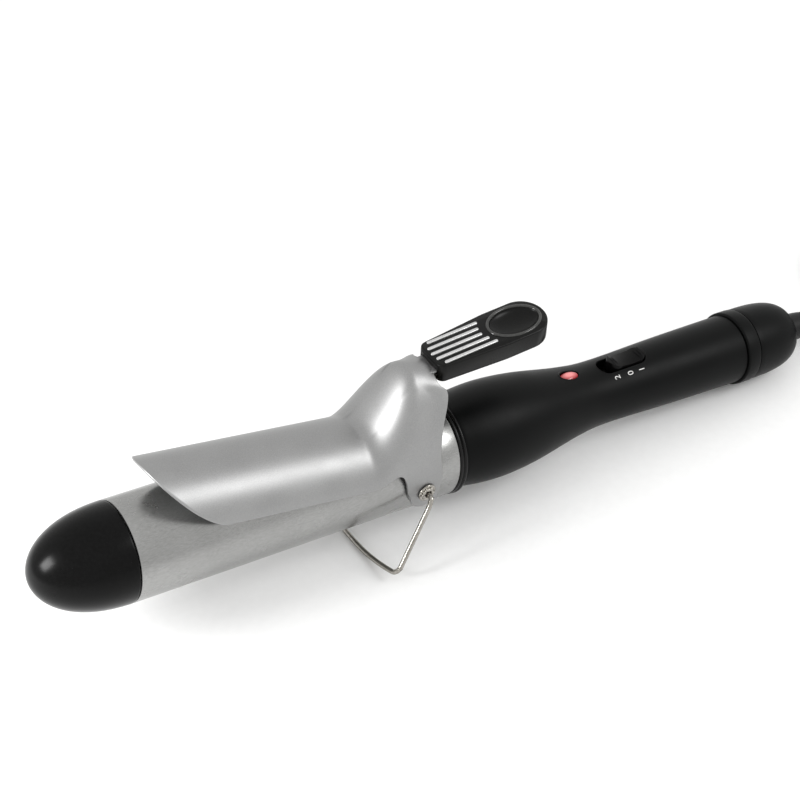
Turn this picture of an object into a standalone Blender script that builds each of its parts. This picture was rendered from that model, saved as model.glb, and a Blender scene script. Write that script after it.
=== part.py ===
"""Curling iron with a spring clip, a thumb lever, a wire stand and a mains lead.

The iron is modelled along +X, from its tip to its cord, about its own axis, with X = 0 where
the black tip cap meets the barrel. An empty then tips it back onto its stand, and the whole
model sits on the plane Z = 0. All sizes are in metres.
"""
import math

import bmesh
import bpy
from mathutils import Matrix, Vector

for old in list(bpy.data.objects):
    bpy.data.objects.remove(old, do_unlink=True)

MM = 0.001

# ---------------------------------------------------------------- driving dimensions
BARREL_RADIUS = 19.0 * MM          # a 38 mm styling barrel
BARREL_LENGTH = 134.2 * MM
BARREL_WALL = 1.0 * MM
TIP_LENGTH = 33.5 * MM             # black cap in front of the barrel
TIP_FULLNESS = 2.2                 # 2 is an ellipse, more is blunter
TIP_WALL = 2.1 * MM
SPIGOT_LENGTH = 8.0 * MM

GAP = 0.3 * MM                     # between pieces that touch
FIT = 0.35 * MM                    # radial clearance of a spigot in its socket

RING_WIDTH = 3.2 * MM              # black ring between barrel and handle
RING_PROUD = 0.5 * MM
COLLAR_SLEEVE = 22.0 * MM          # how far the collar reaches into the barrel
COLLAR_BORE = 11.0 * MM
HANDLE_SOCKET = 14.0 * MM          # how far the collar reaches into the handle
SOCKET_WALL = 2.3 * MM             # handle wall round the collar's spigot
HANDLE_LENGTH = 145.8 * MM
HANDLE_WALL = 2.2 * MM
# handle outline: share of its length, radius
HANDLE_STATIONS = ((0.0, 17.4), (0.08, 19.1), (0.165, 19.5), (0.27, 18.1), (0.42, 14.4),
                   (0.53, 13.2), (0.76, 14.0), (1.0, 14.5))
REAR_RING_RADIUS = 15.5 * MM
REAR_RING_WIDTH = 6.6 * MM
END_CAP_LENGTH = 25.8 * MM
END_CAP_RADIUS = 15.3 * MM
END_CAP_WALL = 2.4 * MM
REAR_SPIGOT = 7.0 * MM

PIVOT_FROM_END = 16.2 * MM         # clip and stand turn on this line, from the barrel's end
EYELET_RADIUS = 2.3 * MM
EYELET_HEAD_RADIUS = 3.7 * MM
EYELET_HEAD_THICK = 1.2 * MM
EYELET_LENGTH = 9.0 * MM

CLIP_THICK = 1.0 * MM
CLIP_CLEARANCE = 0.4 * MM          # clip to barrel when closed
CLIP_NOSE_X = 5.3 * MM
CLIP_HALF_ANGLE = 74.0             # degrees from the top to the lower edge
CLIP_NOSE_SWEEP = 21.3 * MM        # how far the nose curves back at its near lower corner
CLIP_NOSE_SKEW = 9.0               # degrees that the nose leans to the +Y side
CLIP_CORNER = 4.0 * MM
CLIP_OPEN = 7.5                    # degrees that the clip stands ajar at rest
HOOD_RISE = 25.1 * MM              # top of the raised hood above the half-round plate
HOOD_START = 25.0 * MM             # where the hood starts to rise, in front of the pivot
HOOD_FULL = 9.5 * MM               # where it has its full height
NOTCH_LENGTH = 10.5 * MM           # curved notch in the lower edge, in front of the ear
EDGE_BELOW = 2.2 * MM              # least reach of the ear below the pivot line
EAR_RADIUS = 7.0 * MM
LIP_FLARE = 1.6 * MM
LIP_LENGTH = 5.0 * MM

LEVER_LENGTH = 51.3 * MM
LEVER_FRONT_WIDTH = 15.4 * MM
LEVER_WIDTH = 19.2 * MM
LEVER_THICK = 8.0 * MM
LEVER_SLOPE = 14.9                 # degrees, with the clip closed
LEVER_PLACE = (1.07 * MM, 3.05 * MM)     # its top plane: behind the pivot, above the hood
LEVER_WALL = 2.0 * MM
DISH_LENGTH = 21.0 * MM
DISH_WIDTH = 14.0 * MM
DISH_DEPTH = 2.6 * MM
DISH_CENTRE = 36.8 * MM            # along the lever
TONGUE_WIDTH = 10.0 * MM
TONGUE_TOP = -3.3 * MM             # below the lever's top plane
TONGUE_END = 21.0 * MM             # along the lever
TONGUE_ROOT = 13.0 * MM            # how far it runs on under the hood
SCREW_RADIUS = 1.2 * MM
SCREW_PLACES = (7.0 * MM, 16.0 * MM)
SCREW_TIP = -1.3 * MM

BRACKET_HALF_WIDTH = 3.2 * MM
BRACKET_THICK = 0.8 * MM
SPRING_WIRE = 1.2 * MM
SPRING_PIN_RADIUS = 1.5 * MM
SPRING_RISE = 5.4 * MM             # spring pin above the barrel

STAND_WIRE = 2.0 * MM
STAND_LEAN = 33.0                  # degrees that the open stand leans towards the tip
STAND_REACH = 35.2 * MM            # pivot to the middle of the crossbar
STAND_CORNER = 29.4 * MM           # pivot to the corners
STAND_HALF_WIDTH = 32.2 * MM
STAND_SHOULDER = 5.5 * MM
STAND_FLAT = 5.0 * MM              # half length of the straight middle of the crossbar

SLOT_FROM_FRONT = (74.3 * MM, 97.9 * MM)   # switch slot along the handle
SWITCH_SLOT_WIDTH = 8.6 * MM
SWITCH_BODY_HALF = 11.0 * MM
SWITCH_BODY_TOP = 5.0 * MM
KNOB_SKIRT = (8.6 * MM, 9.5 * MM)  # plate under the wall that keeps the slider in
SKIRT_HALF_WIDTH = 4.7 * MM
SADDLE_RADIUS = 24.0 * MM          # hollow for the finger on the slider
SADDLE_DEPTH = 1.3 * MM
KNOB_LENGTH = 18.0 * MM
KNOB_WIDTH = 7.4 * MM
KNOB_TOP = 15.0 * MM               # above the axis
LED_FROM_FRONT = 59.4 * MM
LED_LENGTH = 9.0 * MM
LED_WIDTH = 4.8 * MM
LED_TOP = 14.9 * MM

HEATER_THICK = 3.6 * MM
HEATER_WIDTH = 14.0 * MM
SPREADER_FRONT = 20.0 * MM
SPREADER_BEFORE_END = 30.2 * MM
HEATER_INSET = 10.0 * MM           # heater shorter than its two blocks at each end
BOARD_FROM_FRONT = (58.0 * MM, 124.0 * MM)
BOARD_HALF_WIDTH = 8.2 * MM
BOARD_THICK = 1.6 * MM
BOARD_TOP = -1.2 * MM
FUSE_FROM_FRONT = 14.0 * MM
FUSE_LENGTH = 12.0 * MM
FUSE_RADIUS = 2.0 * MM
LEAD_BEND_FROM_FRONT = 22.0 * MM

BOOT_RADIUS = 6.0 * MM
BOOT_END_RADIUS = 4.1 * MM
BOOT_STRAIGHT = 3.0 * MM
BOOT_BEND_RADIUS = 70.0 * MM
BOOT_BEND = 26.0                   # degrees, to the -Y side
CORD_DIAMETER = 6.0 * MM
COIL_TURN = (20.75 * MM, 45.25 * MM)     # radius of the innermost and outermost turn
COIL_LAYERS = 2
TIE_THICK = 0.8 * MM
TIE_WIDTH = 6.0 * MM

# the lead's route from the end of the strain relief, in millimetres, with heights above the table
LEAD_ROUTE = ((0.3, -0.14, 11.28), (3.9, -1.9, 10.85), (7.7, -4.5, 10.1),
              (11.4, -7.5, 9.0))
COIL_CENTRE = (59.7, 11.0, 1.1)
TAIL_ROUTE = ((84.0, -34.6, 7.9), (90.6, -33.9, 6.4), (97.0, -32.1, 5.2),
              (105.5, -28.4, 4.1), (113.0, -22.9, 3.7), (119.0, -15.9, 4.3),
              (123.0, -8.4, 5.8), (124.9, -1.2, 6.8))
PLUG_PLACE = (125.0, -0.8, 6.9)       # where the tail enters the plug
PLUG_TURN = 78.0                   # degrees about +Z, the way the pins point
TIE_TURN = 45.0                    # where the tie goes round the coil
PLUG_LENGTH = 36.0 * MM
PLUG_WIDTH = 31.0 * MM
PLUG_NECK_WIDTH = 12.0 * MM
PLUG_THICK = 13.6 * MM
PIN_LENGTH = 19.0 * MM
PIN_RADIUS = 2.0 * MM
PIN_SPACING = 18.6 * MM

ROUND = 40                         # facets round the big turned pieces
SMALL_ROUND = 12

# ---------------------------------------------------------------- derived places
PIVOT_X = BARREL_LENGTH - PIVOT_FROM_END
RING_X = BARREL_LENGTH + GAP
HANDLE_X = RING_X + RING_WIDTH + GAP
REAR_RING_X = HANDLE_X + HANDLE_LENGTH + GAP
END_CAP_X = REAR_RING_X + REAR_RING_WIDTH + GAP
END_X = END_CAP_X + END_CAP_LENGTH
BARREL_BORE = BARREL_RADIUS - BARREL_WALL
CLIP_RADIUS = BARREL_RADIUS + CLIP_CLEARANCE + CLIP_THICK      # outer face of the clip
PIVOT = Vector((PIVOT_X, 0.0, 0.0))
HOOD_HEIGHT = CLIP_RADIUS + HOOD_RISE
LEVER_TOP = PIVOT + Vector((LEVER_PLACE[0], 0.0, HOOD_HEIGHT + LEVER_PLACE[1]))
SPRING_AXIS_Z = BARREL_RADIUS + SPRING_RISE
SOCKET_RADIUS = HANDLE_STATIONS[0][1] * MM - SOCKET_WALL
SWITCH_SLOT = tuple(HANDLE_X + x for x in SLOT_FROM_FRONT)
LED_X = HANDLE_X + LED_FROM_FRONT
BOARD_X = tuple(HANDLE_X + x for x in BOARD_FROM_FRONT)
SPREADER_X = (SPREADER_FRONT, BARREL_LENGTH - SPREADER_BEFORE_END)
HEATER_X = (SPREADER_X[0] + HEATER_INSET, SPREADER_X[1] - HEATER_INSET)
SWAP_X_Z = Matrix(((0, 0, 1, 0), (0, 1, 0, 0), (1, 0, 0, 0), (0, 0, 0, 1)))


# ---------------------------------------------------------------- helpers
def material(name, colour, roughness, metallic=0.0):
    made = bpy.data.materials.new(name)
    made.use_nodes = True
    shader = made.node_tree.nodes["Principled BSDF"]
    shader.inputs["Base Color"].default_value = (*colour, 1.0)
    shader.inputs["Roughness"].default_value = roughness
    shader.inputs["Metallic"].default_value = metallic
    return made


def empty(name, parent=None, place=(0, 0, 0), turn=(0, 0, 0)):
    made = bpy.data.objects.new(name, None)
    made.parent = parent
    made.location = place
    made.rotation_euler = turn
    bpy.context.collection.objects.link(made)
    return made


def add_object(name, data, finish, parent, place=(0, 0, 0), turn=(0, 0, 0)):
    made = bpy.data.objects.new(name, data)
    made.parent = parent
    made.location = place
    made.rotation_euler = turn
    data.materials.append(finish)
    bpy.context.collection.objects.link(made)
    return made


def mesh_from(shape, name, smooth=True):
    bmesh.ops.recalc_face_normals(shape, faces=shape.faces)
    mesh = bpy.data.meshes.new(name)
    shape.to_mesh(mesh)
    shape.free()
    if smooth:
        mesh.shade_smooth()
        mesh.set_sharp_from_angle(angle=math.radians(35))
    return mesh


def turned_mesh(name, profile, sides=ROUND, closed=False):
    """Turn a profile of (x, radius) points about X. A closed profile gives a ring or a tube."""
    shape = bmesh.new()
    rings = []
    for x, radius in profile:
        if radius < 1e-9:
            rings.append([shape.verts.new((x, 0, 0))])
            continue
        angles = [2 * math.pi * k / sides for k in range(sides)]
        rings.append([shape.verts.new((x, radius * math.cos(a), radius * math.sin(a)))
                      for a in angles])
    pairs = list(zip(rings, rings[1:]))
    if closed:
        pairs.append((rings[-1], rings[0]))
    for first, second in pairs:
        for k in range(sides):
            loop = [first[k % len(first)], first[(k + 1) % len(first)],
                    second[(k + 1) % len(second)], second[k % len(second)]]
            shape.faces.new(list(dict.fromkeys(loop)))
    return mesh_from(shape, name)


def turned(name, profile, finish, parent, sides=ROUND, closed=False, **placing):
    mesh = turned_mesh(name, profile, sides, closed)
    return add_object(name, mesh, finish, parent, **placing)


def prism_mesh(name, outline, low, high):
    """Extrude an outline of (x, y) points from z = low to z = high."""
    shape = bmesh.new()
    bottom = [shape.verts.new((x, y, low)) for x, y in outline]
    top = [shape.verts.new((x, y, high)) for x, y in outline]
    shape.faces.new(bottom)
    shape.faces.new(top)
    for k in range(len(outline)):
        after = (k + 1) % len(outline)
        shape.faces.new((bottom[k], bottom[after], top[after], top[k]))
    return mesh_from(shape, name)


def prism(name, outline, low, high, finish, parent, **placing):
    return add_object(name, prism_mesh(name, outline, low, high), finish, parent, **placing)


def box_outline(x_low, x_high, half_width):
    return [(x_low, -half_width), (x_high, -half_width), (x_high, half_width),
            (x_low, half_width)]


def oval_outline(x_low, x_high, width, steps=10):
    """A slot shape: two half circles joined by straight sides."""
    radius = width / 2
    points = []
    for centre, start in ((x_high - radius, -90), (x_low + radius, 90)):
        for k in range(steps + 1):
            angle = math.radians(start + 180 * k / steps)
            points.append((centre + radius * math.cos(angle), radius * math.sin(angle)))
    return points


def ellipse_outline(x_centre, length, width, steps=24):
    return [(x_centre + length / 2 * math.cos(2 * math.pi * k / steps),
             width / 2 * math.sin(2 * math.pi * k / steps)) for k in range(steps)]


def boolean(target, tool, operation):
    change = target.modifiers.new(f"{operation.lower()}_{tool.name}", "BOOLEAN")
    change.operation = operation
    change.solver = "EXACT"
    change.object = tool
    tool.hide_render = True
    tool.display_type = "WIRE"


def cut(target, *tools):
    for tool in tools:
        boolean(target, tool, "DIFFERENCE")


def rod_mesh(name, radius, low, high, sides=SMALL_ROUND):
    return turned_mesh(name, [(low, 0), (low, radius), (high, radius), (high, 0)], sides)


def smooth_line(points, per_span=4):
    """Catmull-Rom curve through the points."""
    points = [Vector(p) for p in points]
    first = points[0] * 2 - points[1]
    last = points[-1] * 2 - points[-2]
    fence = [first, *points, last]
    line = []
    for k in range(1, len(fence) - 2):
        a, b, c, d = fence[k - 1:k + 3]
        for step in range(per_span):
            t = step / per_span
            line.append(0.5 * (2 * b + (c - a) * t + (2 * a - 5 * b + 4 * c - d) * t * t
                               + (3 * b - a - 3 * c + d) * t ** 3))
    line.append(points[-1])
    return line


def wire(name, points, radius, finish, parent, radii=None, facets=2, **placing):
    """A round wire through the points, as a curve with filled caps."""
    curve = bpy.data.curves.new(name, "CURVE")
    curve.dimensions = "3D"
    curve.bevel_depth = radius
    curve.bevel_resolution = facets
    curve.use_fill_caps = True
    spline = curve.splines.new("POLY")
    spline.points.add(len(points) - 1)
    for k, point in enumerate(points):
        spline.points[k].co = (*point, 1.0)
        spline.points[k].radius = radii[k] if radii else 1.0
    return add_object(name, curve, finish, parent, **placing)


def blend(low, high, x):
    """0 below low, 1 above high, smooth between."""
    t = min(max((x - low) / (high - low), 0.0), 1.0)
    return t * t * (3 - 2 * t)


# ---------------------------------------------------------------- materials
silver = material("silver_barrel", (0.62, 0.62, 0.61), 0.32, 1.0)
clip_silver = material("satin_clip", (0.58, 0.58, 0.58), 0.4, 0.9)
gloss_black = material("gloss_black", (0.01, 0.01, 0.01), 0.12)
soft_black = material("soft_touch_black", (0.05, 0.055, 0.055), 0.55)
lever_black = material("lever_black", (0.02, 0.02, 0.02), 0.3)
nickel = material("bright_nickel", (0.75, 0.72, 0.66), 0.15, 1.0)
spring_steel = material("spring_steel", (0.6, 0.58, 0.54), 0.25, 1.0)
lens_red = material("red_lens", (0.6, 0.02, 0.03), 0.2)
aluminium = material("aluminium", (0.75, 0.75, 0.77), 0.4, 1.0)
ceramic = material("ceramic", (0.85, 0.82, 0.76), 0.6)
board_green = material("circuit_board", (0.03, 0.2, 0.08), 0.5)
wire_white = material("silicone_wire", (0.8, 0.78, 0.74), 0.5)
rubber_black = material("rubber_black", (0.03, 0.03, 0.03), 0.6)

iron = empty("iron")


# ---------------------------------------------------------------- barrel and its heater
def make_tip_cap():
    steps = 10
    dome = []
    for k in range(steps + 1):
        x = -TIP_LENGTH * math.cos(math.pi / 2 * k / steps)
        share = max(1 - (abs(x) / TIP_LENGTH) ** TIP_FULLNESS, 0.0)
        dome.append((x, BARREL_RADIUS * math.sqrt(share)))
    seat = -GAP / 2
    dome[-1] = (seat, BARREL_RADIUS)
    spigot = BARREL_BORE - FIT
    bore = spigot - TIP_WALL
    inside = [(seat, spigot), (SPIGOT_LENGTH, spigot), (SPIGOT_LENGTH, bore), (seat, bore),
              (-TIP_LENGTH / 2, bore * 0.72), (-TIP_LENGTH / 2, 0)]
    turned("tip_cap", dome + inside, gloss_black, iron)


def pivot_hole_tool(name, radius):
    mesh = rod_mesh(name, radius, -BARREL_RADIUS * 1.6, BARREL_RADIUS * 1.6)
    return add_object(name, mesh, nickel, iron, place=PIVOT, turn=(0, 0, math.pi / 2))


def make_barrel():
    front = GAP / 2
    tube = turned("barrel_tube", [(front, BARREL_RADIUS), (BARREL_LENGTH, BARREL_RADIUS),
                                  (BARREL_LENGTH, BARREL_BORE), (front, BARREL_BORE)],
                  silver, iron, closed=True)
    cut(tube, pivot_hole_tool("barrel_pivot_hole", EYELET_RADIUS + GAP))


def make_heater():
    """A flat ceramic heater between two half-round aluminium blocks that warm the barrel."""
    prism("ptc_heater", box_outline(*HEATER_X, HEATER_WIDTH / 2), -HEATER_THICK / 2,
          HEATER_THICK / 2, ceramic, iron)
    radius = BARREL_BORE - FIT
    flat = HEATER_THICK / 2 + GAP
    start = math.asin(flat / radius)
    steps = 18
    for name, side in (("heat_spreader_upper", 1), ("heat_spreader_lower", -1)):
        outline = []
        for k in range(steps + 1):
            angle = start + (math.pi - 2 * start) * k / steps
            outline.append((side * radius * math.sin(angle), radius * math.cos(angle)))
        mesh = prism_mesh(name, outline, *SPREADER_X)
        mesh.transform(SWAP_X_Z)
        mesh.flip_normals()
        add_object(name, mesh, aluminium, iron)


# ---------------------------------------------------------------- collar and handle
def handle_outline():
    """Outer radius along the handle as (x, radius) points on a smooth curve."""
    stations = [(HANDLE_X + share * HANDLE_LENGTH, radius * MM, 0)
                for share, radius in HANDLE_STATIONS]
    return [(point.x, point.y) for point in smooth_line(stations, per_span=2)]


def handle_radius(x):
    line = handle_outline()
    for (x0, r0), (x1, r1) in zip(line, line[1:]):
        if x0 <= x <= x1:
            return r0 + (r1 - r0) * (x - x0) / (x1 - x0)
    return line[-1][1]


def make_collar():
    """Heat-proof collar: sleeve in the barrel, visible ring, spigot in the handle."""
    sleeve = BARREL_BORE - FIT
    ring = BARREL_RADIUS + RING_PROUD
    spigot = SOCKET_RADIUS - FIT
    ring_end = RING_X + RING_WIDTH
    edge = 0.6 * MM
    profile = [(RING_X - GAP - COLLAR_SLEEVE, sleeve), (RING_X, sleeve), (RING_X, ring - edge),
               (RING_X + edge, ring), (ring_end - edge, ring), (ring_end, ring - edge * 2),
               (ring_end, spigot), (ring_end + HANDLE_SOCKET, spigot),
               (ring_end + HANDLE_SOCKET, COLLAR_BORE),
               (RING_X - GAP - COLLAR_SLEEVE, COLLAR_BORE)]
    collar = turned("heat_collar", profile, gloss_black, iron, closed=True)
    cut(collar, pivot_hole_tool("collar_pivot_hole", EYELET_RADIUS + GAP))


def make_handle():
    outer = handle_outline()
    socket_end = HANDLE_X + HANDLE_SOCKET + 2 * GAP
    inner = [(x, radius - HANDLE_WALL) for x, radius in outer[::2] if x > socket_end + 3 * MM]
    inner[-1] = (HANDLE_X + HANDLE_LENGTH, rear_bore())
    inner = [(HANDLE_X, SOCKET_RADIUS), (socket_end, SOCKET_RADIUS)] + inner
    handle = turned("handle_shell", outer + inner[::-1], soft_black, iron, closed=True)
    top = BARREL_RADIUS + 3 * MM
    slot = prism("switch_slot_tool", oval_outline(*SWITCH_SLOT, SWITCH_SLOT_WIDTH), 4 * MM, top,
                 soft_black, iron)
    led = prism("led_hole_tool", ellipse_outline(LED_X, LED_LENGTH + 2 * GAP,
                                                 LED_WIDTH + 2 * GAP), 4 * MM, top,
                soft_black, iron)
    cut(handle, slot, led)


def rear_bore():
    return handle_radius(HANDLE_X + HANDLE_LENGTH) - HANDLE_WALL


def end_cap_outline(steps=7):
    """Outside of the end cap: nearly straight, then a round shoulder down to the boot."""
    hole = BOOT_RADIUS + GAP
    outline = []
    for k in range(steps + 1):
        share = math.sin(math.pi / 2 * k / steps) ** 0.9
        rise = (1 - share ** 3.2) ** (1 / 2.4)
        outline.append((END_CAP_X + END_CAP_LENGTH * share,
                        hole + (END_CAP_RADIUS - hole) * rise))
    outline[-1] = (END_X, hole + 1.0 * MM)
    return outline


def make_rear_end():
    spigot = rear_bore() - FIT
    ring_bore = spigot - 1.6 * MM
    end = REAR_RING_X + REAR_RING_WIDTH
    edge = 0.7 * MM
    turned("end_ring", [(REAR_RING_X - GAP - REAR_SPIGOT, spigot), (REAR_RING_X, spigot),
                        (REAR_RING_X, REAR_RING_RADIUS - edge),
                        (REAR_RING_X + edge, REAR_RING_RADIUS),
                        (end - edge, REAR_RING_RADIUS), (end, REAR_RING_RADIUS - edge / 2),
                        (end, ring_bore), (REAR_RING_X - GAP - REAR_SPIGOT, ring_bore)],
           soft_black, iron, closed=True)
    hole = BOOT_RADIUS + GAP
    outer = end_cap_outline()
    bore = END_CAP_RADIUS - END_CAP_WALL
    bore_end = END_X - END_CAP_LENGTH * 0.42
    plug_radius = ring_bore - FIT
    front = END_CAP_X - GAP - REAR_RING_WIDTH
    inside = [(END_X, hole), (bore_end, hole), (bore_end, bore - 1 * MM),
              (END_CAP_X + 1.5 * MM, plug_radius - 1.5 * MM), (front, plug_radius - 1.5 * MM),
              (front, plug_radius), (END_CAP_X, plug_radius)]
    turned("end_cap", outer + inside, soft_black, iron, closed=True)
    return bore_end


def make_boot(bore_end):
    """Tapered strain relief that leaves the end cap straight and then leans to the -Y side."""
    points = []
    radii = []
    flange = bore_end - 3 * MM
    for x, radius in ((flange, 1.35), (bore_end - GAP, 1.35), (bore_end - GAP + 0.01 * MM, 1.0),
                      (END_X, 1.0), (END_X + BOOT_STRAIGHT, 1.0)):
        points.append(Vector((x, 0, 0)))
        radii.append(radius)
    steps = 8
    for k in range(1, steps + 1):
        angle = math.radians(BOOT_BEND) * k / steps
        points.append(Vector((END_X + BOOT_STRAIGHT + BOOT_BEND_RADIUS * math.sin(angle),
                              -BOOT_BEND_RADIUS * (1 - math.cos(angle)), 0)))
        radii.append(1 + (BOOT_END_RADIUS / BOOT_RADIUS - 1) * k / steps)
    wire("cord_boot", points, BOOT_RADIUS, rubber_black, iron, radii=radii, facets=4)
    return points[-1], (points[-1] - points[-2]).normalized()


# ---------------------------------------------------------------- electrics in the handle
def make_electrics():
    prism("control_board", box_outline(*BOARD_X, BOARD_HALF_WIDTH), BOARD_TOP - BOARD_THICK,
          BOARD_TOP, board_green, iron)
    lamp = 1.5 * MM
    lamp_top = LED_TOP - 6.5 * MM
    add_object("led_lamp", turned_mesh("led_lamp", [(BOARD_TOP + GAP, 0), (BOARD_TOP + GAP, lamp),
                                                    (lamp_top - lamp, lamp),
                                                    (lamp_top - lamp * 0.3, lamp * 0.7),
                                                    (lamp_top, 0)], SMALL_ROUND),
               lens_red, iron, place=(LED_X + 1 * MM, 0, 0), turn=(0, -math.pi / 2, 0))
    lens = bmesh.new()
    rings = []
    for height, scale in ((LED_TOP - 3.6 * MM, 1.0), (LED_TOP - 0.9 * MM, 1.0),
                          (LED_TOP - 0.35 * MM, 0.8), (LED_TOP, 0.45)):
        outline = ellipse_outline(0, LED_LENGTH * scale, LED_WIDTH * scale)
        rings.append([lens.verts.new((x, y, height)) for x, y in outline])
    for low, high in zip(rings, rings[1:]):
        for k in range(len(low)):
            after = (k + 1) % len(low)
            lens.faces.new((low[k], low[after], high[after], high[k]))
    lens.faces.new(rings[0])
    lens.faces.new(rings[-1])
    add_object("led_lens", mesh_from(lens, "led_lens"), lens_red, iron, place=(LED_X, 0, 0))
    slot_middle = sum(SWITCH_SLOT) / 2
    prism("switch_body", box_outline(slot_middle - SWITCH_BODY_HALF,
                                     slot_middle + SWITCH_BODY_HALF, 4.5 * MM),
          BOARD_TOP + GAP, SWITCH_BODY_TOP, gloss_black, iron)
    fuse = rod_mesh("thermal_fuse", FUSE_RADIUS, 0, FUSE_LENGTH)
    add_object("thermal_fuse", fuse, spring_steel, iron,
               place=(HANDLE_X + FUSE_FROM_FRONT, 0, 5 * MM))
    for name, side in (("heater_lead_live", 1), ("heater_lead_neutral", -1)):
        route = [(HEATER_X[1] + GAP, side * 4 * MM, 0), (PIVOT_X, side * 4.5 * MM, 0),
                 (HANDLE_X + LEAD_BEND_FROM_FRONT, side * 5 * MM, -0.5 * MM),
                 (BOARD_X[0] - GAP, side * 4.5 * MM, BOARD_TOP - BOARD_THICK / 2)]
        wire(name, smooth_line(route, per_span=3), 1.0 * MM, wire_white, iron)


def make_switch_knob():
    """Slider: finger pad above the slot, skirt plate below the wall, stem to the switch."""
    knob_rear = SWITCH_SLOT[1] - 2 * GAP
    middle = knob_rear - KNOB_LENGTH / 2
    slider = empty("switch_slider", iron, place=(middle, 0, 0))
    half = KNOB_LENGTH / 2
    travel = SWITCH_SLOT[1] - SWITCH_SLOT[0] - KNOB_LENGTH
    knob = prism("switch_knob", oval_outline(-half, half, KNOB_WIDTH), KNOB_SKIRT[0], KNOB_TOP,
                 gloss_black, slider)
    skirt_half = half + travel
    skirt = prism("knob_skirt_tool", box_outline(-skirt_half, skirt_half, SKIRT_HALF_WIDTH),
                  *KNOB_SKIRT, gloss_black, slider)
    stem = prism("knob_stem_tool", box_outline(-2.5 * MM, 2.5 * MM, 1.5 * MM),
                 SWITCH_BODY_TOP + GAP, KNOB_SKIRT[1] - 0.2 * MM, gloss_black, slider)
    boolean(knob, skirt, "UNION")
    boolean(knob, stem, "UNION")
    saddle = add_object("knob_saddle_tool",
                        rod_mesh("knob_saddle_tool", SADDLE_RADIUS, -10 * MM, 10 * MM, 48),
                        gloss_black, slider,
                        place=(0, 0, KNOB_TOP + SADDLE_RADIUS - SADDLE_DEPTH),
                        turn=(0, 0, math.pi / 2))
    cut(knob, saddle)


# ---------------------------------------------------------------- clip
def clip_low_edge(x):
    """Height of the clip's lower edge above the axis, at x along the iron."""
    plate = CLIP_RADIUS * math.cos(math.radians(CLIP_HALF_ANGLE))
    ear_front = PIVOT_X - EAR_RADIUS
    if x <= ear_front:
        drop = max((x - ear_front + NOTCH_LENGTH) / NOTCH_LENGTH, 0) ** 2.4
        return plate - (plate + EDGE_BELOW) * drop
    reach = min(abs(x - PIVOT_X) / EAR_RADIUS, 1.0)
    return -max(EAR_RADIUS * math.sqrt(1 - reach ** 2), EDGE_BELOW)


def hood_height(x):
    return CLIP_RADIUS + HOOD_RISE * blend(PIVOT_X - HOOD_START, PIVOT_X - HOOD_FULL, x)


def clip_section(x, share):
    """Point on the clip's outer face: share 0 is the top line, 1 the lower edge."""
    low = clip_low_edge(x)
    height = hood_height(x)
    if low >= 0:
        angle = share * math.acos(min(low / CLIP_RADIUS, 1.0))
        return CLIP_RADIUS * math.sin(angle), height * math.cos(angle)
    split = 1 - 0.18 * min(-low / EAR_RADIUS, 1.0)
    if share <= split:
        angle = math.pi / 2 * share / split
        return CLIP_RADIUS * math.sin(angle), height * math.cos(angle)
    return CLIP_RADIUS, low * (share - split) / (1 - split)


def clip_rear_edge(share):
    """x of the clip's rear edge: cut short for the lever on top, then a flared lip, then
    back to the round end of the ear."""
    front_of_lever = LEVER_TOP.x - 1.5 * MM
    lip = PIVOT_X + 3.0 * MM
    waist = PIVOT_X + 0.6 * MM
    ear = PIVOT_X + EAR_RADIUS * 0.86
    x = front_of_lever + (lip - front_of_lever) * blend(0.245, 0.30, share)
    x += (waist - lip) * blend(0.32, 0.46, share)
    return x + (ear - waist) * blend(0.5, 0.82, share)


def make_clip_plate(hinge, seat):
    """Pressed sheet: half-round plate, raised hood that carries the lever, and two ears."""
    along = 40
    across = 16
    shape = bmesh.new()
    grid = []
    for i in range(along + 1):
        row = []
        for j in range(-across, across + 1):
            share = math.sin(math.pi / 2 * abs(j) / across) ** 0.97
            lean = -math.copysign(share * CLIP_HALF_ANGLE, j) + CLIP_NOSE_SKEW
            lean = abs(lean) / (CLIP_HALF_ANGLE + CLIP_NOSE_SKEW)
            nose = CLIP_NOSE_X + CLIP_NOSE_SWEEP * lean ** 2.04
            nose += CLIP_CORNER * (1 - math.sqrt(max(1 - share ** 8, 0)))
            rear = clip_rear_edge(share)
            t = i / along
            spread = 1 - (1 - t) ** 1.45
            x = nose + (rear - nose) * spread
            y, z = clip_section(x, share)
            flare = blend(rear - LIP_LENGTH, rear, x) * LIP_FLARE
            flare *= blend(0.05, 0.3, share) * (1 - blend(0.42, 0.7, share))
            lean = math.atan2(y, z)
            y += flare * math.sin(lean)
            z += flare * math.cos(lean)
            row.append(shape.verts.new((x - PIVOT_X, math.copysign(y, j) if j else 0, z)))
        grid.append(row)
    for first, second in zip(grid, grid[1:]):
        for k in range(2 * across):
            shape.faces.new((first[k], second[k], second[k + 1], first[k + 1]))
    mesh = mesh_from(shape, "clip_plate")
    if mesh.polygons[along * across].normal.z < 0:
        mesh.flip_normals()
    plate = add_object("clip_plate", mesh, clip_silver, hinge)
    thick = plate.modifiers.new("sheet_thickness", "SOLIDIFY")
    thick.thickness = CLIP_THICK
    thick.offset = -1
    thick.use_even_offset = True
    hole = add_object("clip_pivot_hole", rod_mesh("clip_pivot_hole", EYELET_RADIUS + GAP,
                                                  -BARREL_RADIUS * 1.6, BARREL_RADIUS * 1.6),
                      clip_silver, hinge, turn=(0, 0, math.pi / 2))
    cut(plate, hole)
    tongue = prism("clip_tongue_tool", box_outline(-TONGUE_ROOT, TONGUE_END, TONGUE_WIDTH / 2),
                   TONGUE_TOP - CLIP_THICK, TONGUE_TOP, clip_silver, seat)
    boolean(plate, tongue, "UNION")


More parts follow.
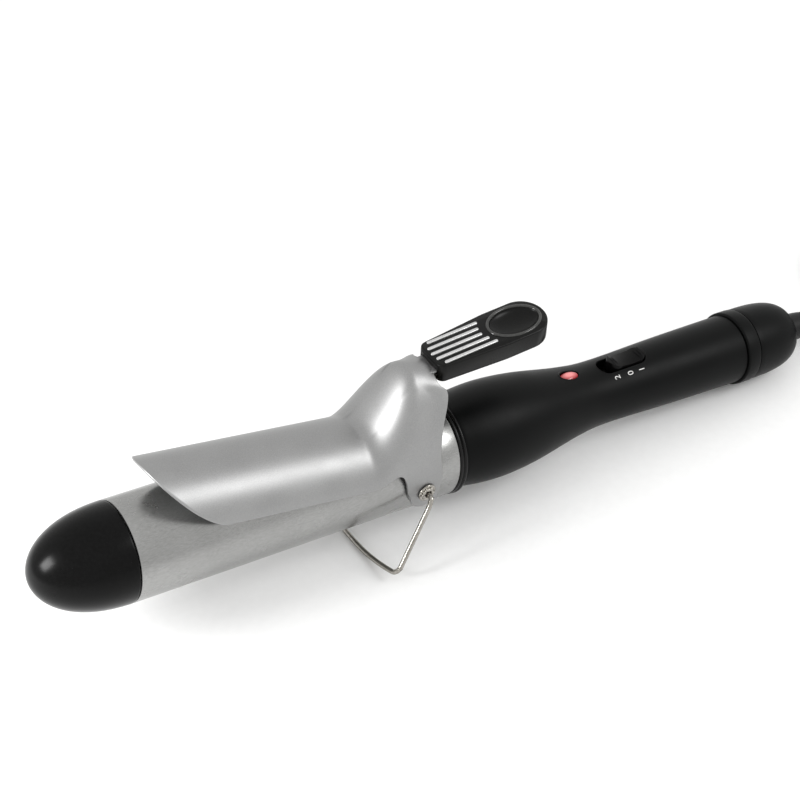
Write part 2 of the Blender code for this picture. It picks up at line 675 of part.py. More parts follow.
def lever_outline(inset=0.0):
    """Lever seen from above: narrow front with round corners, wide round rear end."""
    front_half = LEVER_FRONT_WIDTH / 2 - inset
    half = LEVER_WIDTH / 2 - inset
    corner = 3.0 * MM
    front = -1.0 * MM + inset
    centre = front + LEVER_LENGTH - 2 * inset - half
    points = []
    steps = 14
    for k in range(steps + 1):
        angle = math.radians(-90 + 180 * k / steps)
        points.append((centre + half * math.cos(angle), half * math.sin(angle)))
    points.append((front + (centre - front) * 0.7, half))
    for side in (1, -1):
        for k in range(4):
            angle = math.radians(90 + 30 * k if side > 0 else 180 + 30 * k)
            points.append((front + corner + corner * math.cos(angle),
                           side * (front_half - corner) + corner * math.sin(angle)))
    points.append((front + (centre - front) * 0.7, -half))
    return points


def make_lever(seat):
    """Hollow moulded lever with an oval thumb dish, screwed to the clip's tongue."""
    lever = prism("thumb_lever", lever_outline(), -LEVER_THICK, 0, lever_black, seat)
    under = -LEVER_THICK - 1 * MM
    front_pocket = prism("front_pocket_tool", box_outline(LEVER_WALL - 1 * MM, TONGUE_END + 2 * MM,
                                                          LEVER_FRONT_WIDTH / 2 - LEVER_WALL),
                         under, TONGUE_TOP + GAP, lever_black, seat)
    rear_pocket = prism("rear_pocket_tool",
                        ellipse_outline(DISH_CENTRE, DISH_LENGTH * 0.95, DISH_WIDTH),
                        under, -DISH_DEPTH - LEVER_WALL, lever_black, seat)
    dish = bmesh.new()
    bmesh.ops.create_uvsphere(dish, u_segments=24, v_segments=12, radius=1.0)
    dish.transform(Matrix.Diagonal((DISH_LENGTH / 2, DISH_WIDTH / 2, DISH_DEPTH, 1)))
    dish_tool = add_object("lever_dish_tool", mesh_from(dish, "lever_dish_tool"), lever_black,
                           seat, place=(DISH_CENTRE, 0, 0.05 * MM))
    slot = prism("lever_slot_tool", box_outline(-4 * MM, LEVER_WALL, TONGUE_WIDTH / 2 + GAP),
                 TONGUE_TOP - CLIP_THICK - GAP, TONGUE_TOP + GAP, lever_black, seat)
    cut(lever, front_pocket, rear_pocket, dish_tool, slot)
    for name, along in (("lever_screw_front", SCREW_PLACES[0]),
                        ("lever_screw_rear", SCREW_PLACES[1])):
        make_screw(name, seat, along)
        cut(lever, screw_tool(name + "_boss_hole", seat, along))
        cut(bpy.data.objects["clip_plate"], screw_tool(name + "_tongue_hole", seat, along))


def screw_tool(name, seat, along):
    """Clearance hole for a lever screw, through the tongue and into the lever's roof."""
    mesh = rod_mesh(name, SCREW_RADIUS + GAP, -LEVER_THICK, SCREW_TIP + GAP)
    mesh.transform(Matrix.Rotation(-math.pi / 2, 4, "Y"))
    return add_object(name, mesh, nickel, seat, place=(along, 0, 0))


def make_screw(name, seat, along):
    """Pan-head screw, driven upwards through the tongue."""
    head_top = TONGUE_TOP - CLIP_THICK - GAP
    head = head_top - 1.3 * MM
    mesh = turned_mesh(name, [(head, 0), (head, SCREW_RADIUS * 1.5),
                              (head + 0.5 * MM, SCREW_RADIUS * 2), (head_top, SCREW_RADIUS * 2),
                              (head_top, SCREW_RADIUS), (SCREW_TIP, SCREW_RADIUS),
                              (SCREW_TIP, 0)], SMALL_ROUND)
    mesh.transform(Matrix.Rotation(-math.pi / 2, 4, "Y"))
    add_object(name, mesh, nickel, seat, place=(along, 0, 0))


# ---------------------------------------------------------------- clip spring
def make_spring():
    """Bracket on top of the barrel, and a wire torsion spring beside it on each side.

    Each spring's lower leg lies along the barrel and is folded back at the ring; its upper
    leg reaches forward under the hood.
    """
    top = BARREL_RADIUS + GAP
    rear = RING_X - 0.6 * MM
    plate = prism("spring_bracket", box_outline(PIVOT_X - 9 * MM, rear, BRACKET_HALF_WIDTH),
                  top, top + BRACKET_THICK, spring_steel, iron)
    post = prism("bracket_post_tool", box_outline(PIVOT_X - 6 * MM, PIVOT_X + 6 * MM, 1.2 * MM),
                 top + BRACKET_THICK / 2, SPRING_AXIS_Z + SPRING_PIN_RADIUS + 1.5 * MM,
                 spring_steel, iron)
    boolean(plate, post, "UNION")
    pin_hole = add_object("bracket_pin_hole", rod_mesh("bracket_pin_hole",
                                                       SPRING_PIN_RADIUS + GAP, -5 * MM, 5 * MM),
                          spring_steel, iron, place=(PIVOT_X, 0, SPRING_AXIS_Z),
                          turn=(0, 0, math.pi / 2))
    cut(plate, pin_hole)
    pin_half = BRACKET_HALF_WIDTH + 4.2 * MM
    add_object("spring_pin", rod_mesh("spring_pin", SPRING_PIN_RADIUS, -pin_half, pin_half),
               nickel, iron, place=(PIVOT_X, 0, SPRING_AXIS_Z), turn=(0, 0, math.pi / 2))
    for name, side in (("clip_spring_left", -1), ("clip_spring_right", 1)):
        wire(name, spring_path(side, rear), SPRING_WIRE / 2, spring_steel, iron, facets=1)


def spring_path(side, rear):
    """Lower leg with its folded end, three turns round the pin, then the upper leg."""
    radius = SPRING_PIN_RADIUS + GAP + SPRING_WIRE * 0.8
    leg_z = BARREL_RADIUS + SPRING_WIRE / 2 + 0.1 * MM
    start_y = BRACKET_HALF_WIDTH + GAP + SPRING_WIRE / 2
    fold = SPRING_WIRE + GAP
    pitch = SPRING_WIRE + 0.15 * MM
    points = []
    fold_x = rear - fold
    points.append((fold_x - 7 * MM, start_y + fold, leg_z))
    points.append((fold_x, start_y + fold, leg_z))
    for k in range(1, 4):
        angle = math.pi * k / 4
        points.append((fold_x + fold / 2 * math.sin(angle),
                       start_y + fold / 2 * (1 + math.cos(angle)), leg_z))
    points.append((fold_x, start_y, leg_z))
    lift = fold_x - 6 * MM
    points.append((lift, start_y, leg_z))
    turns = 3
    steps = 10
    first = math.radians(-62)
    for k in range(turns * steps + 3):
        angle = first - 2 * math.pi * k / steps
        points.append((PIVOT_X + radius * math.cos(angle), start_y + pitch * k / steps,
                       SPRING_AXIS_Z + radius * math.sin(angle)))
    last = points[-1]
    points.append((last[0] - 7 * MM, last[1], last[2] + 6.5 * MM))
    return [(x, side * y, z) for x, y, z in points]


# ---------------------------------------------------------------- pivot eyelets and stand
def make_eyelets():
    """Tubular rivets: the clip turns on the outside, the stand's wire ends in the bore."""
    seat = CLIP_RADIUS + GAP
    bore = STAND_WIRE / 2 + GAP
    inner = seat - EYELET_LENGTH
    rim = seat + EYELET_HEAD_THICK
    for name, turn in (("pivot_eyelet_left", -math.pi / 2), ("pivot_eyelet_right", math.pi / 2)):
        turned(name, [(inner, EYELET_RADIUS), (seat, EYELET_RADIUS), (seat, EYELET_HEAD_RADIUS),
                      (seat + EYELET_HEAD_THICK * 0.5, EYELET_HEAD_RADIUS),
                      (rim, EYELET_HEAD_RADIUS * 0.8), (rim, EYELET_HEAD_RADIUS * 0.62),
                      (rim - EYELET_HEAD_THICK * 0.5, bore + 0.3 * MM), (inner, bore)],
               nickel, iron, sides=SMALL_ROUND, closed=True, place=PIVOT, turn=(0, 0, turn))


def make_stand():
    """One bent wire: ends in the eyelets, legs that splay, round corners, bowed crossbar."""
    hinge = empty("stand_hinge", iron, place=PIVOT, turn=(0, math.radians(STAND_LEAN), 0))
    end = CLIP_RADIUS - EYELET_LENGTH * 0.6
    out = CLIP_RADIUS + EYELET_HEAD_THICK + 0.9 * MM
    shoulder = STAND_SHOULDER + CLIP_RADIUS
    half = [(end, 0), (out - 0.4 * MM, 0), (out + 1.5 * MM, 0.35 * MM),
            (shoulder - 1.1 * MM, 1.4 * MM), (shoulder - 0.2 * MM, 3.4 * MM),
            (shoulder + 0.6 * MM, 6.5 * MM), (STAND_HALF_WIDTH - 0.9 * MM, STAND_CORNER - 3.4 * MM),
            (STAND_HALF_WIDTH - 0.4 * MM, STAND_CORNER - 1.2 * MM),
            (STAND_HALF_WIDTH - 1.2 * MM, STAND_CORNER + 0.9 * MM),
            (STAND_HALF_WIDTH - 3.2 * MM, STAND_CORNER + 2.1 * MM)]
    bow = STAND_REACH - half[-1][1]
    for k in (1, 2):
        y = half[9][0] + (STAND_FLAT - half[9][0]) * k / 3
        share = (y - STAND_FLAT) / (half[9][0] - STAND_FLAT)
        half.append((y, STAND_REACH - bow * share ** 2))
    half.append((STAND_FLAT, STAND_REACH))
    points = [(0, -y, -reach) for y, reach in half]
    points += [(0, y, -reach) for y, reach in reversed(half)]
    wire("stand_wire", points, STAND_WIRE / 2, nickel, hinge, facets=2)


# ---------------------------------------------------------------- handle screw
def make_handle_screw():
    """Holds the handle on the collar's spigot, from below."""
    x = HANDLE_X + HANDLE_SOCKET * 0.55
    surface = handle_radius(x)
    tip = COLLAR_BORE + 1.0 * MM
    head = 2.6 * MM
    profile = [(tip, 0), (tip, 1.2 * MM), (surface - 2.2 * MM, 1.2 * MM),
               (surface - 2.2 * MM, head), (surface - 0.6 * MM, head), (surface - 0.6 * MM, 0)]
    mesh = turned_mesh("handle_screw", profile, SMALL_ROUND)
    add_object("handle_screw", mesh, nickel, iron, place=(x, 0, 0), turn=(0, math.pi / 2, 0))
    clearance = turned_mesh("handle_screw_hole", [(COLLAR_BORE - 1 * MM, 0),
                                                  (COLLAR_BORE - 1 * MM, 1.2 * MM + GAP),
                                                  (surface - 2.2 * MM - GAP, 1.2 * MM + GAP),
                                                  (surface - 2.2 * MM - GAP, head + GAP),
                                                  (surface + 3 * MM, head + GAP),
                                                  (surface + 3 * MM, 0)], SMALL_ROUND)
    tool = add_object("handle_screw_hole", clearance, nickel, iron, place=(x, 0, 0),
                      turn=(0, math.pi / 2, 0))
    cut(bpy.data.objects["handle_shell"], tool)
    cut(bpy.data.objects["heat_collar"], tool)


# ---------------------------------------------------------------- mains lead, on the table
def on_table(point, start):
    """A point given from the end of the strain relief, with its height above the table."""
    return Vector((start.x + point[0] * MM, start.y + point[1] * MM, point[2] * MM))


def make_cord(start):
    """The free lead, in the model's own frame: lead-out, coil, tail and plug on Z = 0."""
    radius = CORD_DIAMETER / 2
    for name, route in (("cord_lead", LEAD_ROUTE), ("cord_tail", TAIL_ROUTE)):
        line = smooth_line([on_table(point, start) for point in route], per_span=2)
        wire(name, line, radius, rubber_black, None, facets=2)
    inner = COIL_TURN[0] - radius
    outer = COIL_TURN[1] + radius
    height = COIL_LAYERS * CORD_DIAMETER
    turned("cord_coil", [(0, inner), (0, outer), (height, outer), (height, inner)],
           rubber_black, None, sides=32, closed=True, place=on_table(COIL_CENTRE, start),
           turn=(0, -math.pi / 2, 0))
    tie_inner = math.sqrt(inner ** 2 - (TIE_WIDTH / 2) ** 2) - 2 * GAP
    tie = empty("tie_place", None, place=on_table(COIL_CENTRE, start),
                turn=(0, 0, math.radians(TIE_TURN)))
    band = prism("cord_tie", box_outline(tie_inner - TIE_THICK, outer + GAP + TIE_THICK,
                                         TIE_WIDTH / 2),
                 -GAP - TIE_THICK, height + GAP + TIE_THICK, rubber_black, tie)
    room = prism("tie_room_tool", box_outline(tie_inner, outer + GAP, TIE_WIDTH),
                 -GAP, height + GAP, rubber_black, tie)
    cut(band, room)


def make_plug(start):
    """Moulded two-pin plug, lying flat."""
    plug = empty("plug", None, place=on_table(PLUG_PLACE, start),
                 turn=(0, 0, math.radians(PLUG_TURN)))
    half = PLUG_WIDTH / 2
    neck = PLUG_NECK_WIDTH / 2
    outline = [(0, -neck), (PLUG_LENGTH * 0.35, -neck * 1.3), (PLUG_LENGTH * 0.7, -half),
               (PLUG_LENGTH - 1.5 * MM, -half), (PLUG_LENGTH, -half + 1.5 * MM)]
    outline += [(x, -y) for x, y in reversed(outline)]
    prism("plug_body", outline, -PLUG_THICK / 2, PLUG_THICK / 2, rubber_black, plug)
    for name, side in (("plug_pin_left", -1), ("plug_pin_right", 1)):
        start = PLUG_LENGTH + GAP
        tip = start + PIN_LENGTH
        turned(name, [(start, 0), (start, PIN_RADIUS), (tip - PIN_RADIUS / 2, PIN_RADIUS),
                      (tip, PIN_RADIUS / 2), (tip, 0)], nickel, plug, sides=SMALL_ROUND,
               place=(0, side * PIN_SPACING / 2, 0))


def settle(pieces):
    """Put the middle of the iron's base at the origin: tip it onto its stand, then move it."""
    wire_x = -STAND_REACH * math.sin(math.radians(STAND_LEAN)) + PIVOT_X
    wire_z = -STAND_REACH * math.cos(math.radians(STAND_LEAN))
    tilts = []
    for x, radius in [(REAR_RING_X + REAR_RING_WIDTH / 2, REAR_RING_RADIUS)] + end_cap_outline():
        step = Vector((x - wire_x, -radius - wire_z))
        tilts.append(math.atan2(step.y, step.x) + math.asin(STAND_WIRE / 2 / step.length))
    iron.rotation_euler = (0, min(tilts), 0)
    bpy.context.view_layer.update()
    graph = bpy.context.evaluated_depsgraph_get()
    corners = []
    for piece in pieces:
        shape = piece.evaluated_get(graph)
        mesh = shape.to_mesh()
        corners += [piece.matrix_world @ vertex.co for vertex in mesh.vertices]
        shape.to_mesh_clear()
    low = Vector(min(c[k] for c in corners) for k in range(3))
    high = Vector(max(c[k] for c in corners) for k in range(3))
    iron.location = (-(low.x + high.x) / 2, -(low.y + high.y) / 2, -low.z)


# ---------------------------------------------------------------- assembly
make_tip_cap()
make_barrel()
make_heater()
make_collar()
make_handle()
boot_start = make_rear_end()
boot_end, boot_direction = make_boot(boot_start)
make_electrics()
make_switch_knob()
clip_hinge = empty("clip_hinge", iron, place=PIVOT, turn=(0, math.radians(CLIP_OPEN), 0))
lever_seat = empty("lever_seat", clip_hinge, place=LEVER_TOP - PIVOT,
                   turn=(0, -math.radians(LEVER_SLOPE), 0))
make_clip_plate(clip_hinge, lever_seat)
make_lever(lever_seat)
make_spring()
make_eyelets()
make_stand()
make_handle_screw()
settle([piece for piece in bpy.data.objects if piece.type != "EMPTY" and not piece.hide_render
        and piece.name != "cord_boot"])
bpy.context.view_layer.update()
lead_start = iron.matrix_world @ boot_end
make_cord(lead_start)
make_plug(lead_start)
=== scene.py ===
# %% [markdown]
# # Curling iron
# A curling iron is a heated barrel with a sprung clip. Its mechanical model is already made and
# packed, and it fixes every size. This lesson dresses that model: it makes each visible piece
# again with finer surfaces, gives every piece its finish, and lights it like a product on a
# white table. The load comes first, because every later step hangs on its bodies.

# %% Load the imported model
import math

import bmesh
import bpy
from mathutils import Matrix, Vector


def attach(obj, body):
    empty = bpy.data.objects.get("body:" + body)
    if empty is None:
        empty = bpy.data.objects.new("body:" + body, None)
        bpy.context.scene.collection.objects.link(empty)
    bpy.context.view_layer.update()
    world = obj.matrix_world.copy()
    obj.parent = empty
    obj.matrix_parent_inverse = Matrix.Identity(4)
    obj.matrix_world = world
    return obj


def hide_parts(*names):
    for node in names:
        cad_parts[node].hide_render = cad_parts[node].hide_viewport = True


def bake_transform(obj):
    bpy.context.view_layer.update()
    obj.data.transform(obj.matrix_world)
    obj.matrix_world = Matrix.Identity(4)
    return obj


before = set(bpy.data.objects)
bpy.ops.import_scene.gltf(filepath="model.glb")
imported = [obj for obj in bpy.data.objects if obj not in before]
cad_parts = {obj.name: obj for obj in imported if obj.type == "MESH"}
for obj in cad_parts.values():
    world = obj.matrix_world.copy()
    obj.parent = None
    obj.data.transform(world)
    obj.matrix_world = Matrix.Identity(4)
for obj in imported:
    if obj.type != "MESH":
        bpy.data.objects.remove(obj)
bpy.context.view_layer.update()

# %% [markdown]
# ## Where things are
# The iron lies tipped back on its wire stand, so its own axis isn't level. Building each piece
# along a level axis is much easier, so we keep one matrix for the iron, and one each for the
# clip, the lever and the stand, and move finished meshes with them.

# %% Places of the iron, its clip, its lever and its stand
MM = 0.001
IRON_TILT = 4.3579
PIVOT = Vector((118.0, 0.0, 0.0)) * MM
LEVER_TOP = Vector((119.07, 0.0, 48.55)) * MM
CLIP_OPEN = 7.5
LEVER_SLOPE = 14.9
STAND_LEAN = 33.0


def turn_y(degrees):
    return Matrix.Rotation(math.radians(degrees), 4, "Y")


iron_place = Matrix.Translation((-0.141518, 0.0, 0.037945)) @ turn_y(IRON_TILT)
clip_place = iron_place @ Matrix.Translation(PIVOT) @ turn_y(CLIP_OPEN)
lever_place = clip_place @ Matrix.Translation(LEVER_TOP - PIVOT) @ turn_y(-LEVER_SLOPE)
stand_place = iron_place @ Matrix.Translation(PIVOT) @ turn_y(STAND_LEAN)
print("hinge line, mm:", [round(c * 1000, 2) for c in clip_place.translation])
print("lever seat, mm:", [round(c * 1000, 2) for c in lever_place.translation])

# %% [markdown]
# ## The camera
# The iron is looked at from beyond its tip, from the left and from well above. A long lens keeps
# its edges nearly parallel, which suits a small object. The camera is made before anything else,
# because the coil of the lead has to lie outside its view.

# %% Camera
camera = bpy.data.objects.new("camera", bpy.data.cameras.new("camera"))
camera.data.lens = 90.165
camera.data.sensor_width = 36.0
right = Vector((0.836124, -0.543182, 0.076483))
up = Vector((0.318404, 0.59413, 0.738666))
camera.matrix_world = (Matrix.Translation((-0.35446, -0.43748, 0.55319))
                       @ Matrix((right, up, right.cross(up))).transposed().to_4x4())
bpy.context.scene.collection.objects.link(camera)
bpy.context.scene.camera = camera
print("camera height, m:", round(camera.matrix_world.translation.z, 3))

# %% [markdown]
# ## Tools for making pieces
# Nearly every piece here is turned, swept or extruded. A turned piece is a profile spun about
# the iron's axis; a swept piece is a round section carried along a smooth line; an extruded
# piece is an outline with thickness. Three small helpers cover them. Moulded and pressed edges
# are never sharp, so a piece whose outline doesn't round them gets a bevel. Profiles are easiest
# to read in millimetres, so a fourth helper turns such lists into metres.

# %% Adding a piece
def add_piece(name, data, body, finish, stands_for=()):
    piece = bpy.data.objects.new(name, data)
    bpy.context.scene.collection.objects.link(piece)
    data.materials.clear()
    data.materials.append(finish)
    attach(piece, body)
    if stands_for:
        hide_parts(*stands_for)
    return piece


def mesh_of(shape, name, place=None):
    bmesh.ops.remove_doubles(shape, verts=shape.verts, dist=1e-7)
    bmesh.ops.recalc_face_normals(shape, faces=shape.faces)
    mesh = bpy.data.meshes.new(name)
    shape.to_mesh(mesh)
    shape.free()
    mesh.shade_smooth()
    if place is not None:
        mesh.transform(place)
    return mesh


def crisp(mesh, degrees):
    """Shade the mesh smooth, and keep the edges that are sharper than the angle."""
    mesh.shade_smooth()
    mesh.set_sharp_from_angle(angle=math.radians(degrees))
    return mesh


def soften(piece, width, segments=3, angle=32.0):
    """Round the edges that are sharper than the angle."""
    edge = piece.modifiers.new("soft edges", "BEVEL")
    edge.width = width
    edge.segments = segments
    edge.limit_method = "ANGLE"
    edge.angle_limit = math.radians(angle)
    edge.harden_normals = True
    return piece


# %% Turned and extruded shapes
def in_mm(*points):
    """The points, given in millimetres, in metres."""
    return [tuple(c * MM for c in point) for point in points]


def turned(name, profile, place, sides=128, wave=None):
    """Spin a closed profile of (x, radius) points about X. wave(x, angle) may swell it."""
    shape = bmesh.new()
    rings = []
    for x, radius in profile:
        if radius < 1e-8:
            rings.append([shape.verts.new((x, 0, 0))])
            continue
        ring = []
        for k in range(sides):
            angle = 2 * math.pi * k / sides
            r = radius * (wave(x, angle) if wave else 1)
            ring.append(shape.verts.new((x, r * math.cos(angle), r * math.sin(angle))))
        rings.append(ring)
    closed = len(rings[0]) > 1 and len(rings[-1]) > 1
    for first, second in zip(rings, rings[1:] + (rings[:1] if closed else [])):
        for k in range(sides):
            loop = [first[k % len(first)], first[(k + 1) % len(first)],
                    second[(k + 1) % len(second)], second[k % len(second)]]
            loop = list(dict.fromkeys(loop))
            if len(loop) > 2:
                shape.faces.new(loop)
    return mesh_of(shape, name, place)


def extruded(name, outline, low, high, place):
    shape = bmesh.new()
    bottom = [shape.verts.new((x, y, low)) for x, y in outline]
    top = [shape.verts.new((x, y, high)) for x, y in outline]
    shape.faces.new(bottom[::-1])
    shape.faces.new(top)
    for k in range(len(outline)):
        after = (k + 1) % len(outline)
        shape.faces.new((bottom[k], bottom[after], top[after], top[k]))
    return mesh_of(shape, name, place)


# %% Swept shapes
def smooth_line(points, per_span=8):
    """A smooth line through the points (Catmull-Rom)."""
    points = [Vector(p) for p in points]
    fence = [points[0] * 2 - points[1], *points, points[-1] * 2 - points[-2]]
    line = []
    for k in range(1, len(fence) - 2):
        a, b, c, d = fence[k - 1:k + 3]
        for step in range(per_span):
            t = step / per_span
            line.append(0.5 * (2 * b + (c - a) * t + (2 * a - 5 * b + 4 * c - d) * t * t
                               + (3 * b - a - 3 * c + d) * t ** 3))
    return line + [points[-1]]


def swept(name, points, radius, place=None, radii=None, facets=6):
    """A round wire or rod along the points, with closed ends."""
    curve = bpy.data.curves.new(name, "CURVE")
    curve.dimensions = "3D"
    curve.bevel_depth = radius
    curve.bevel_resolution = facets
    curve.use_fill_caps = True
    spline = curve.splines.new("POLY")
    spline.points.add(len(points) - 1)
    for k, point in enumerate(points):
        here = place @ Vector(point) if place is not None else Vector(point)
        spline.points[k].co = (*here, 1.0)
        spline.points[k].radius = radii[k] if radii else 1.0
    return curve


# %% Finished meshes and cuts
def finished_mesh(piece):
    """The mesh that Blender makes of a piece: its text, its curve or its modifiers."""
    graph = bpy.context.evaluated_depsgraph_get()
    return bpy.data.meshes.new_from_object(piece.evaluated_get(graph), depsgraph=graph)


def settle_mesh(piece):
    """Replace the piece's mesh with what its modifiers make of it."""
    mesh = finished_mesh(piece)
    piece.modifiers.clear()
    piece.data = mesh
    return piece


def mesh_from(data):
    """A mesh in place of a text or a curve."""
    holder = bpy.data.objects.new("holder", data)
    bpy.context.scene.collection.objects.link(holder)
    mesh = finished_mesh(holder)
    bpy.data.objects.remove(holder)
    return mesh


def carve(piece, *tools):
    """Cut the tool meshes out of the piece."""
    for mesh in tools:
        tool = bpy.data.objects.new("cutter", mesh)
        bpy.context.scene.collection.objects.link(tool)
        change = piece.modifiers.new("cut", "BOOLEAN")
        change.operation = "DIFFERENCE"
        change.solver = "EXACT"
        change.object = tool
        settle_mesh(piece)
        bpy.data.objects.remove(tool)
    return piece


# %% Outlines and blends
def bar(x_low, x_high, width):
    """The outline of a plain bar."""
    half = width / 2
    return [(x_low, -half), (x_high, -half), (x_high, half), (x_low, half)]


def oval(x_low, x_high, width, steps=20):
    """A slot shape: two half circles joined by straight sides."""
    radius = width / 2
    points = []
    for centre, start in ((x_high - radius, -90), (x_low + radius, 90)):
        for k in range(steps + 1):
            angle = math.radians(start + 180 * k / steps)
            points.append((centre + radius * math.cos(angle), radius * math.sin(angle)))
    return points


def ellipse(x_centre, length, width, steps=64):
    return [(x_centre + length / 2 * math.cos(2 * math.pi * k / steps),
             width / 2 * math.sin(2 * math.pi * k / steps)) for k in range(steps)]


def blend(low, high, x):
    """0 below low, 1 above high, smooth between."""
    t = min(max((x - low) / (high - low), 0.0), 1.0)
    return t * t * (3 - 2 * t)


def ease(low, high, x):
    """Like blend, with no jump in curvature at its two ends."""
    t = min(max((x - low) / (high - low), 0.0), 1.0)
    return t * t * t * (t * (6 * t - 15) + 10)


print("a smooth line through 3 points has", len(smooth_line([(0, 0, 0), (1, 0, 0), (1, 1, 0)])))

# %% [markdown]
# ## Finishes
# Real surfaces are never one flat colour. A painted or plated one has fine flecks, a moulded
# one has a spark-eroded grain, and both catch dust and small scratches that change their gloss
# before their colour. One helper builds all of that: a fine noise for the grain, a coarse one
# for slow changes, and a bump so small that it only breaks up the highlight. Values that are
# the same all over are set straight on the shader.

# %% A grained finish
def grained(name, dark, light, gloss, grain, depth, stretch=(1, 1, 1), contrast=(0.35, 0.65),
            **shader_values):
    """gloss is (least, most) roughness; grain is in waves per metre; depth in metres."""
    finish = bpy.data.materials.new(name)
    finish.use_nodes = True
    nodes = finish.node_tree.nodes
    link = finish.node_tree.links.new
    shader = nodes["Principled BSDF"]
    where = nodes.new("ShaderNodeTexCoord")
    scaled = nodes.new("ShaderNodeMapping")
    scaled.inputs["Scale"].default_value = stretch
    link(where.outputs["Object"], scaled.inputs["Vector"])
    fine = nodes.new("ShaderNodeTexNoise")
    fine.inputs["Scale"].default_value = grain
    fine.inputs["Detail"].default_value = 3.0
    link(scaled.outputs["Vector"], fine.inputs["Vector"])
    coarse = nodes.new("ShaderNodeTexNoise")
    coarse.inputs["Scale"].default_value = 60.0
    coarse.inputs["Detail"].default_value = 4.0
    link(where.outputs["Object"], coarse.inputs["Vector"])
    both = nodes.new("ShaderNodeMix")
    both.inputs["Factor"].default_value = 0.3
    link(fine.outputs["Fac"], both.inputs[2])
    link(coarse.outputs["Fac"], both.inputs[3])
    tint = nodes.new("ShaderNodeValToRGB")
    tint.color_ramp.elements[0].position = contrast[0]
    tint.color_ramp.elements[1].position = contrast[1]
    tint.color_ramp.elements[0].color = (*dark, 1.0)
    tint.color_ramp.elements[1].color = (*light, 1.0)
    link(both.outputs[0], tint.inputs["Fac"])
    link(tint.outputs["Color"], shader.inputs["Base Color"])
    rough = nodes.new("ShaderNodeMapRange")
    rough.inputs["From Min"].default_value = 0.3
    rough.inputs["From Max"].default_value = 0.7
    rough.inputs["To Min"].default_value = gloss[0]
    rough.inputs["To Max"].default_value = gloss[1]
    link(coarse.outputs["Fac"], rough.inputs["Value"])
    link(rough.outputs["Result"], shader.inputs["Roughness"])
    bump = nodes.new("ShaderNodeBump")
    bump.inputs["Distance"].default_value = depth
    link(fine.outputs["Fac"], bump.inputs["Height"])
    link(bump.outputs["Normal"], shader.inputs["Normal"])
    for socket, value in shader_values.items():
        shader.inputs[socket.replace("_", " ")].default_value = value
    return finish


# %% The iron's finishes
barrel_silver = grained("barrel silver", (0.27, 0.27, 0.265), (0.34, 0.34, 0.335), (0.22, 0.30),
                        2600, 0.000008, (0.25, 1, 1), Metallic=0.9)
clip_silver = grained("clip silver lacquer", (0.27, 0.27, 0.27), (0.335, 0.335, 0.335),
                      (0.38, 0.45), 3200, 0.000008, Metallic=0.85)
tip_gloss = grained("tip gloss black", (0.0015, 0.0015, 0.0015), (0.003, 0.003, 0.003),
                    (0.20, 0.28), 900, 0.000003, Specular_IOR_Level=0.10)
soft_touch = grained("handle soft touch", (0.0012, 0.0014, 0.0014), (0.0025, 0.0028, 0.0028),
                     (0.36, 0.44), 4200, 0.00003, Specular_IOR_Level=0.09)
lever_black = grained("lever moulded black", (0.002, 0.002, 0.002), (0.005, 0.005, 0.0045),
                      (0.24, 0.34), 2400, 0.000012, Specular_IOR_Level=0.16)
collar_black = grained("collar moulded black", (0.003, 0.003, 0.003), (0.008, 0.008, 0.008),
                       (0.22, 0.34), 2400, 0.00001, Specular_IOR_Level=0.2)
cord_black = grained("lead black vinyl", (0.004, 0.004, 0.004), (0.009, 0.009, 0.009),
                     (0.38, 0.5), 2200, 0.00002, Specular_IOR_Level=0.2)
rib_foil = grained("rib silver foil", (0.50, 0.50, 0.50), (0.66, 0.66, 0.66), (0.22, 0.34),
                   1800, 0.00001, Metallic=0.75)
bright_nickel = grained("bright nickel", (0.28, 0.265, 0.235), (0.42, 0.40, 0.37), (0.10, 0.2),
                        1500, 0.000006, (0.3, 1, 1), Metallic=1.0)
spring_nickel = grained("spring nickel", (0.46, 0.42, 0.33), (0.60, 0.56, 0.46), (0.16, 0.26),
                        1500, 0.000008, (0.3, 1, 1), Metallic=1.0)
print("finishes so far:", len(bpy.data.materials))

# %% [markdown]
# ## The mains lead
# A mains lead is a fixed length of stiff round vinyl, here 1.8 m of 6 mm. It leaves the handle
# through a tapered strain relief, sinks to the table within a few centimetres, and the rest is
# wound as for storage: a neat coil of two layers, held by a tie, with the plug beside it. The
# line goes inwards on the table, climbs at the middle, and comes out on top. One open
# Bezier spline follows it, because a spline stays smooth with few points.

# %% The strain relief's line
CAP_END = 316.8 * MM
BOOT_STRAIGHT = 3.0 * MM
BOOT_BEND_RADIUS = 70.0 * MM
BOOT_BEND = math.radians(26.0)


def boot_point(length):
    """A point on the strain relief's centre line, at a length from the end cap's hole."""
    if length <= BOOT_STRAIGHT:
        return Vector((CAP_END + length, 0, 0))
    angle = (length - BOOT_STRAIGHT) / BOOT_BEND_RADIUS
    return Vector((CAP_END + BOOT_STRAIGHT + BOOT_BEND_RADIUS * math.sin(angle),
                   -BOOT_BEND_RADIUS * (1 - math.cos(angle)), 0))


boot_length = BOOT_STRAIGHT + BOOT_BEND_RADIUS * BOOT_BEND
print("strain relief, mm long:", round(boot_length * 1000, 1))

